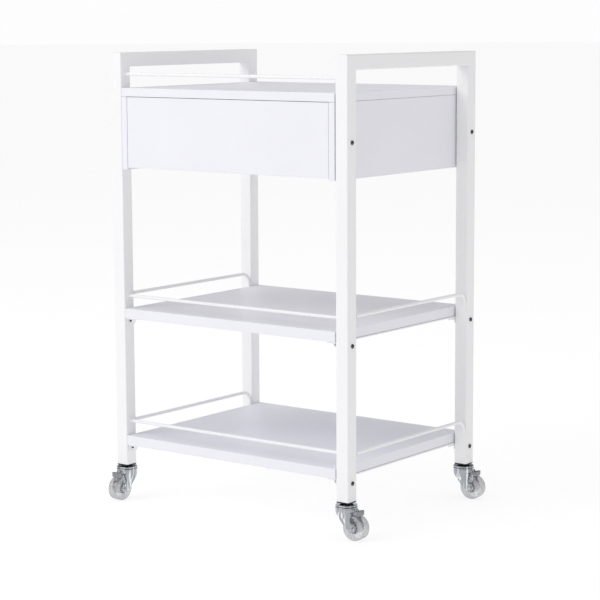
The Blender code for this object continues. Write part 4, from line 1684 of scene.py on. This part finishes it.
@dataclass(frozen=True)
class Caster:
    """A swivel caster under one post: end plug, race, pressed fork, clear wheel and brake pedal.

    The rivet's outline lists radii with shares of its height.
    """

    corner: Corner
    steps: int = 64
    plug_edge: float = 0.0020
    plug_rim: float = 0.0019
    plug_inset: float = 0.0015
    plug_ribs: int = 5
    plug_rib: float = 0.0006
    flange_round: float = 0.0005
    play: float = 0.0003
    race_drop: float = 0.0015
    race_round: float = 0.0014
    race_groove: tuple[float, float, float] = (0.62, 0.66, 0.70)  # shares of its radius
    small_edge: float = 0.0008
    neck_radius: float = 0.0065
    neck_head: float = 0.0020
    head_round: float = 0.0012
    pin_radius: float = 0.0040
    crown_radius: float = 0.0190
    crown_metal: float = 0.0037
    crown_round: float = 0.0013
    rivet_height: float = 0.0018
    rivet: tuple[Point, ...] = ((0.0004, 1.0), (0.0016, 1.0), (0.0026, 0.86), (0.0032, 0.45))
    rivet_foot: float = 0.0034
    rivet_steps: int = 40
    axle_radius: float = 0.0029
    axle_play: float = 0.00021
    washer: float = 0.0052
    washer_height: float = 0.0006
    leg: Leg = Leg()
    wheel: Wheel = Wheel()
    pedal: Pedal = Pedal()

    def node(self, part: str) -> str:
        """Name one of the caster's nodes."""
        return f"{self.corner.value}_{part}"

    def joint(self, part: str) -> Vector:
        """Return the place of one of the caster's joints."""
        name = self.node(part)
        return Vector(next(j for j in frame["joints"] if j["name"] == name)["pos_m"])

    def behind(self, part: str) -> float:
        """Return how far a joint stands behind the swivel's axis."""
        post, place = self.joint("swivel"), self.joint(part)
        return math.hypot(place.x - post.x, place.y - post.y)

    def turn(self) -> Matrix:
        """Return the fork's turn: its own +X is the way that the wheel trails."""
        post, axle = self.joint("swivel"), self.joint("wheel_spin")
        return Matrix.Rotation(math.atan2(axle.y - post.y, axle.x - post.x), 4, "Z")

    def swivel(self) -> Matrix:
        """Return the fork's turn and place."""
        post = self.joint("swivel")
        return Matrix.Translation((post.x, post.y, 0)) @ self.turn()

    def wheel_place(self) -> Matrix:
        """Return the wheel's place: its axis along the axle, from +Z."""
        return Matrix.Translation(self.joint("wheel_spin")) @ self.turn() @ LYING

    def plug(self) -> Shape:
        """Build the end plug: a flange as wide as the post, a ribbed body and the stem's bore.

        Returns:
            The plug, in place.
        """
        low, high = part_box(self.node("plug"))
        half = (high.x - low.x) / 2
        flange_top = low.z + self.plug_rim
        body, tip, rib = half - self.plug_inset, self.flange_round, self.plug_rib
        inner_edge = self.plug_edge / 2
        levels = [
            (half - tip, self.plug_edge, low.z),
            (half, self.plug_edge, low.z + tip),
            (half, self.plug_edge, flange_top - tip / 2),
            (half - tip / 2, self.plug_edge, flange_top),
            (body, inner_edge, flange_top),
        ]
        spacing = (high.z - flange_top - 5 * rib) / self.plug_ribs
        for i in range(self.plug_ribs):
            z = flange_top + 3 * rib + spacing * i
            levels += [(body, inner_edge, z), (body - rib, inner_edge, z + rib)]
            levels.append((body, inner_edge, z + 4 * rib))
        levels.append((body - rib, inner_edge, high.z))
        post = self.joint("swivel")
        rings = [
            [Vector((post.x + u, post.y + v, z)) for u, v in rounded_square(size, edge)]
            for size, edge, z in levels
        ]
        bore = circle(self.pin_radius + self.play, len(rings[0]))
        rings += [[Vector((post.x + u, post.y + v, z)) for u, v in bore] for z in (high.z, low.z)]
        return Shape().loft(rings, cyclic=True)

    def stem(self) -> Shape:
        """Build the stem, its neck and the pressed race that covers the balls.

        Returns:
            The stem, in place.
        """
        low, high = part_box(self.node("caster_stem"))
        rim = (high.x - low.x) / 2
        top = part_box(self.node("plug"))[0].z - self.play
        race_top = top - self.race_drop
        race_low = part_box(self.node("caster_fork"))[1].z + self.play
        r, neck, pin = self.race_round, self.neck_radius, self.pin_radius
        tip, groove = self.small_edge, [rim * share for share in self.race_groove]
        profile = [(tip, high.z), (pin - tip, high.z), (pin, high.z - tip), (pin, top), (neck, top)]
        profile += [(neck, race_top + tip / 2), (neck + tip, race_top)]
        profile.append((groove[0], race_top - tip / 4))
        profile += [(groove[1], race_top - tip), (groove[2], race_top - tip)]
        profile += arc((rim - r, race_top - tip - r), r, 80, 0, 6)
        profile += arc((rim - r * 0.6, race_low + r * 0.6), r * 0.6, 0, -90, 4)
        head, soft = low.z + self.neck_head, self.head_round
        profile += [(pin, race_low), (pin, head), (neck, head)]
        profile += arc((neck - soft, low.z + soft), soft, 0, -90, 4)
        profile += [(tip, low.z)]
        post = self.joint("swivel")
        return Shape().turn(profile, self.steps).move(Matrix.Translation((post.x, post.y, 0)))

    def crown(self) -> Shape:
        """Build the fork's round crown about the swivel's axis.

        Returns:
            The crown, in place.
        """
        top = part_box(self.node("caster_fork"))[1].z
        radius, r, low = self.crown_radius, self.crown_round, top - self.crown_metal
        bore = self.pin_radius + self.play
        profile = [(bore, top), *arc((radius - r, top - r), r, 90, 0, 5)]
        profile += [(radius, low + r / 2), (radius - r / 2, low), (bore, low)]
        return Shape().turn(profile, self.steps, cyclic=True).move(self.swivel())

    def axle(self) -> Shape:
        """Build the axle: a pin with a washer and a domed rivet head at each leg.

        Returns:
            The axle, in place.
        """
        reach = self.leg.outer_half() + self.axle_play
        washer, step = self.washer, self.washer_height
        side = [(radius, reach + self.rivet_height * share) for radius, share in self.rivet]
        side += [(self.rivet_foot, reach + step), (washer - step / 2, reach + step)]
        side += [(washer, reach + step / 2), (washer, reach), (self.axle_radius, reach)]
        profile = side + [(radius, -height) for radius, height in reversed(side)]
        return Shape().turn(profile, self.rivet_steps).move(self.wheel_place())

    def tread_mesh(self, name: str) -> bpy.types.Mesh:
        """Make the tyre's mesh.

        Args:
            name: the mesh's name.

        Returns:
            The mesh in place, with an attribute that rises from its bore to its tread.
        """
        radius, bore = self.joint("wheel_spin").z, self.wheel.tyre_bore
        mesh = self.wheel.tyre(radius).mesh(name)
        layer = mesh.attributes.new("tread", "FLOAT", "POINT")
        rises = [(math.hypot(v.co.x, v.co.y) - bore) / (radius - bore) for v in mesh.vertices]
        layer.data.foreach_set("value", rises)
        mesh.transform(self.wheel_place())
        return mesh

    def hub_ribs(self, material: bpy.types.Material) -> bpy.types.Mesh:
        """Grow the hub's radial ribs by a pattern.

        Args:
            material: their finish.

        Returns:
            The ribs' mesh, in place.
        """
        wheel = self.wheel
        values = {"Ribs": wheel.ribs, "Radius": wheel.rib_radius, "Size": wheel.rib_size}
        values["Finish"] = material
        mesh = rib_pattern("hub_ribs").grow(bpy.data.meshes.new("hub_ribs"), values)
        mesh.transform(self.wheel_place())
        return mesh

    def pedal_ribs(self, material: bpy.types.Material) -> bpy.types.Mesh:
        """Grow the ribs across the pedal's top by a pattern.

        Args:
            material: their finish.

        Returns:
            The ribs' mesh, in place.
        """
        pedal = self.pedal
        step = (pedal.rib_step, 0.0, pedal.rib_step * pedal.rib_slope)
        values = {"Bars": pedal.ribs, "Step": step, "Size": pedal.rib_size, "Finish": material}
        mesh = row_pattern("pedal_ribs").grow(bpy.data.meshes.new("pedal_ribs"), values)
        across, up = pedal.rib_start
        start = (self.behind("wheel_spin") + across, 0, self.joint("wheel_spin").z + up)
        mesh.transform(self.swivel() @ Matrix.Translation(start))
        return mesh

    def build_fork(self, wardrobe: Wardrobe, body: str) -> None:
        """Build and dress the crown, the two legs and the axle.

        Args:
            wardrobe: the finishes.
            body: the body that they move with.
        """
        fork, axle = self.node("caster_fork"), self.node("caster_axle")
        wardrobe.dress(self.node("fork_crown"), self.crown().mesh(fork), "zinc_plate", body, [fork])
        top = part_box(fork)[1].z - self.leg.below_crown
        for way, side in ((1, "near"), (-1, "far")):
            shape = self.leg.shape(way, self.behind("wheel_spin"), self.joint("wheel_spin").z, top)
            mesh = shape.move(self.swivel()).mesh(fork)
            wardrobe.dress(self.node(f"fork_leg_{side}"), mesh, "zinc_plate", body)
        wardrobe.dress(self.node("axle"), self.axle().mesh(axle), "zinc_plate", body, [axle])

    def build_wheel(self, wardrobe: Wardrobe, body: str) -> None:
        """Build and dress the tyre, its core and the core's ribs.

        Args:
            wardrobe: the finishes.
            body: the body that they move with.
        """
        wheel, slot = self.node("caster_wheel"), "clear_wheel"
        wardrobe.dress(self.node("tyre"), self.tread_mesh(wheel), slot, body, [wheel])
        core = self.wheel.core().move(self.wheel_place()).mesh(wheel)
        place_piece(self.node("wheel_core"), core, wardrobe.core, body)
        place_piece(self.node("hub_ribs"), self.hub_ribs(wardrobe.core), wardrobe.core, body)

    def build_pedal(self, wardrobe: Wardrobe, body: str) -> None:
        """Build and dress the brake pedal and its ribs.

        Args:
            wardrobe: the finishes.
            body: the body that they move with.
        """
        node, slot = self.node("brake_pedal"), "pedal_metal"
        pivot = (self.behind("brake_tilt"), self.joint("brake_tilt").z)
        shape = self.pedal.shape(self.behind("wheel_spin"), self.joint("wheel_spin").z, pivot)
        wardrobe.dress(self.node("pedal"), shape.move(self.swivel()).mesh(node), slot, body, [node])
        ribs = self.pedal_ribs(wardrobe.materials[slot])
        wardrobe.dress(self.node("pedal_ribs"), ribs, slot, body)

    def build(self, wardrobe: Wardrobe) -> None:
        """Build and dress the caster.

        Args:
            wardrobe: the finishes.
        """
        plug, stem = self.node("plug"), self.node("caster_stem")
        mesh = self.plug().mesh(plug)
        wardrobe.dress(self.node("end_plug"), mesh, "black_plastic", "trolley", [plug])
        wardrobe.dress(self.node("race"), self.stem().mesh(stem), "zinc_plate", "trolley", [stem])
        self.build_fork(wardrobe, self.node("caster"))
        self.build_wheel(wardrobe, self.node("wheel"))
        self.build_pedal(wardrobe, self.node("brake"))


# ---------------------------------------------------------------- studio


@dataclass(frozen=True)
class SoftLight:
    """A square light: its name, its place, its side and its power in watts."""

    name: str
    place: tuple[float, float, float]
    size: float
    power: float


@dataclass(frozen=True)
class Studio:
    """The camera, the soft lights and the floor."""

    target: tuple[float, float, float] = (0.0127, -0.0007, 0.366)
    distance: float = 3.615
    azimuth: float = 37.2
    elevation: float = 8.08
    roll: float = -0.28
    lens: float = 120.5
    sensor: float = 36.0
    sky: float = 0.665
    sky_seen: float = 0.985
    sky_mirrored: float = 0.26
    floor_radius: float = 60.0
    floor_depth: float = 0.02
    floor_steps: int = 96
    far_clip: float = 200.0
    lights: tuple[SoftLight, ...] = (
        SoftLight("key", (-2.2, -3.6, 3.4), 3.4, 90.0),
        SoftLight("overhead", (0.2, 0.4, 4.2), 2.6, 20.0),
    )

    def camera(self) -> None:
        """Place the camera."""
        data = bpy.data.cameras.new("camera")
        data.lens = self.lens
        data.sensor_width = self.sensor
        data.clip_end = self.far_clip
        a, e = math.radians(self.azimuth), math.radians(self.elevation)
        back = Vector((math.sin(a) * math.cos(e), -math.cos(a) * math.cos(e), math.sin(e)))
        right = Vector((math.cos(a), math.sin(a), 0.0))
        up = back.cross(right)
        roll = math.radians(self.roll)
        across = right * math.cos(roll) + up * math.sin(roll)
        upward = back.cross(across)
        turn = Matrix((across, upward, back)).transposed().to_4x4()
        item = link("camera", data)
        item.matrix_world = Matrix.Translation(Vector(self.target) + back * self.distance) @ turn
        bpy.context.scene.camera = item

    def soft_light(self, light: SoftLight) -> None:
        """Add a square light that faces the trolley.

        Args:
            light: the light.
        """
        data = bpy.data.lights.new(light.name, "AREA")
        data.shape = "SQUARE"
        data.size = light.size
        data.energy = light.power
        item = link(light.name, data)
        item.location = light.place
        aim = Vector(self.target) - item.location
        item.rotation_euler = aim.to_track_quat("-Z", "Y").to_euler()

    def surround(self) -> None:
        """Make the white surround: dimmer as a light and in polished metal than it looks."""
        world = bpy.data.worlds.new("surround")
        world.use_nodes = True
        bpy.context.scene.world = world
        tree = world.node_tree
        path = tree.nodes.new("ShaderNodeLightPath")
        shade = tree.nodes["Background"]
        seen = Value(tree, path.outputs["Is Camera Ray"])
        mirrored = Value(tree, path.outputs["Is Glossy Ray"])
        strength = seen * (self.sky_seen - self.sky) + self.sky
        strength += mirrored * (self.sky_mirrored - self.sky)
        tree.links.new(strength.socket, shade.inputs["Strength"])
        shade.inputs["Color"].default_value = (1.0, 1.0, 1.0, 1.0)

    def build(self) -> None:
        """Set up the studio."""
        self.camera()
        self.surround()
        for light in self.lights:
            self.soft_light(light)
        profile = [(self.floor_radius, -self.floor_depth), (self.floor_radius, 0.0)]
        floor = link("floor", Shape().turn(profile, self.floor_steps).mesh("floor"))
        floor.data.materials.append(StudioFloor().make())
        bpy.context.scene.view_settings.view_transform = "Standard"


def clear_defaults() -> None:
    """Remove whatever the scene held before the frame was loaded."""
    kept = set(frame["nodes"].values()) | set(frame["bodies"].values())
    for item in set(bpy.data.objects) - kept:
        bpy.data.objects.remove(item)


def main() -> None:
    """Build the trolley's looks and the studio around it."""
    logging.basicConfig(level=logging.INFO, format="%(message)s")
    clear_defaults()
    Studio().build()
    wardrobe = Wardrobe()
    for side in Side:
        SideFrame(side).build(wardrobe)
    FrontRods().build(wardrobe)
    Boards().build(wardrobe)
    Supports().build(wardrobe)
    PostScrews().build(wardrobe)
    Runners().build(wardrobe)
    for corner in Corner:
        Caster(corner).build(wardrobe)


if __name__ == "__main__":
    main()
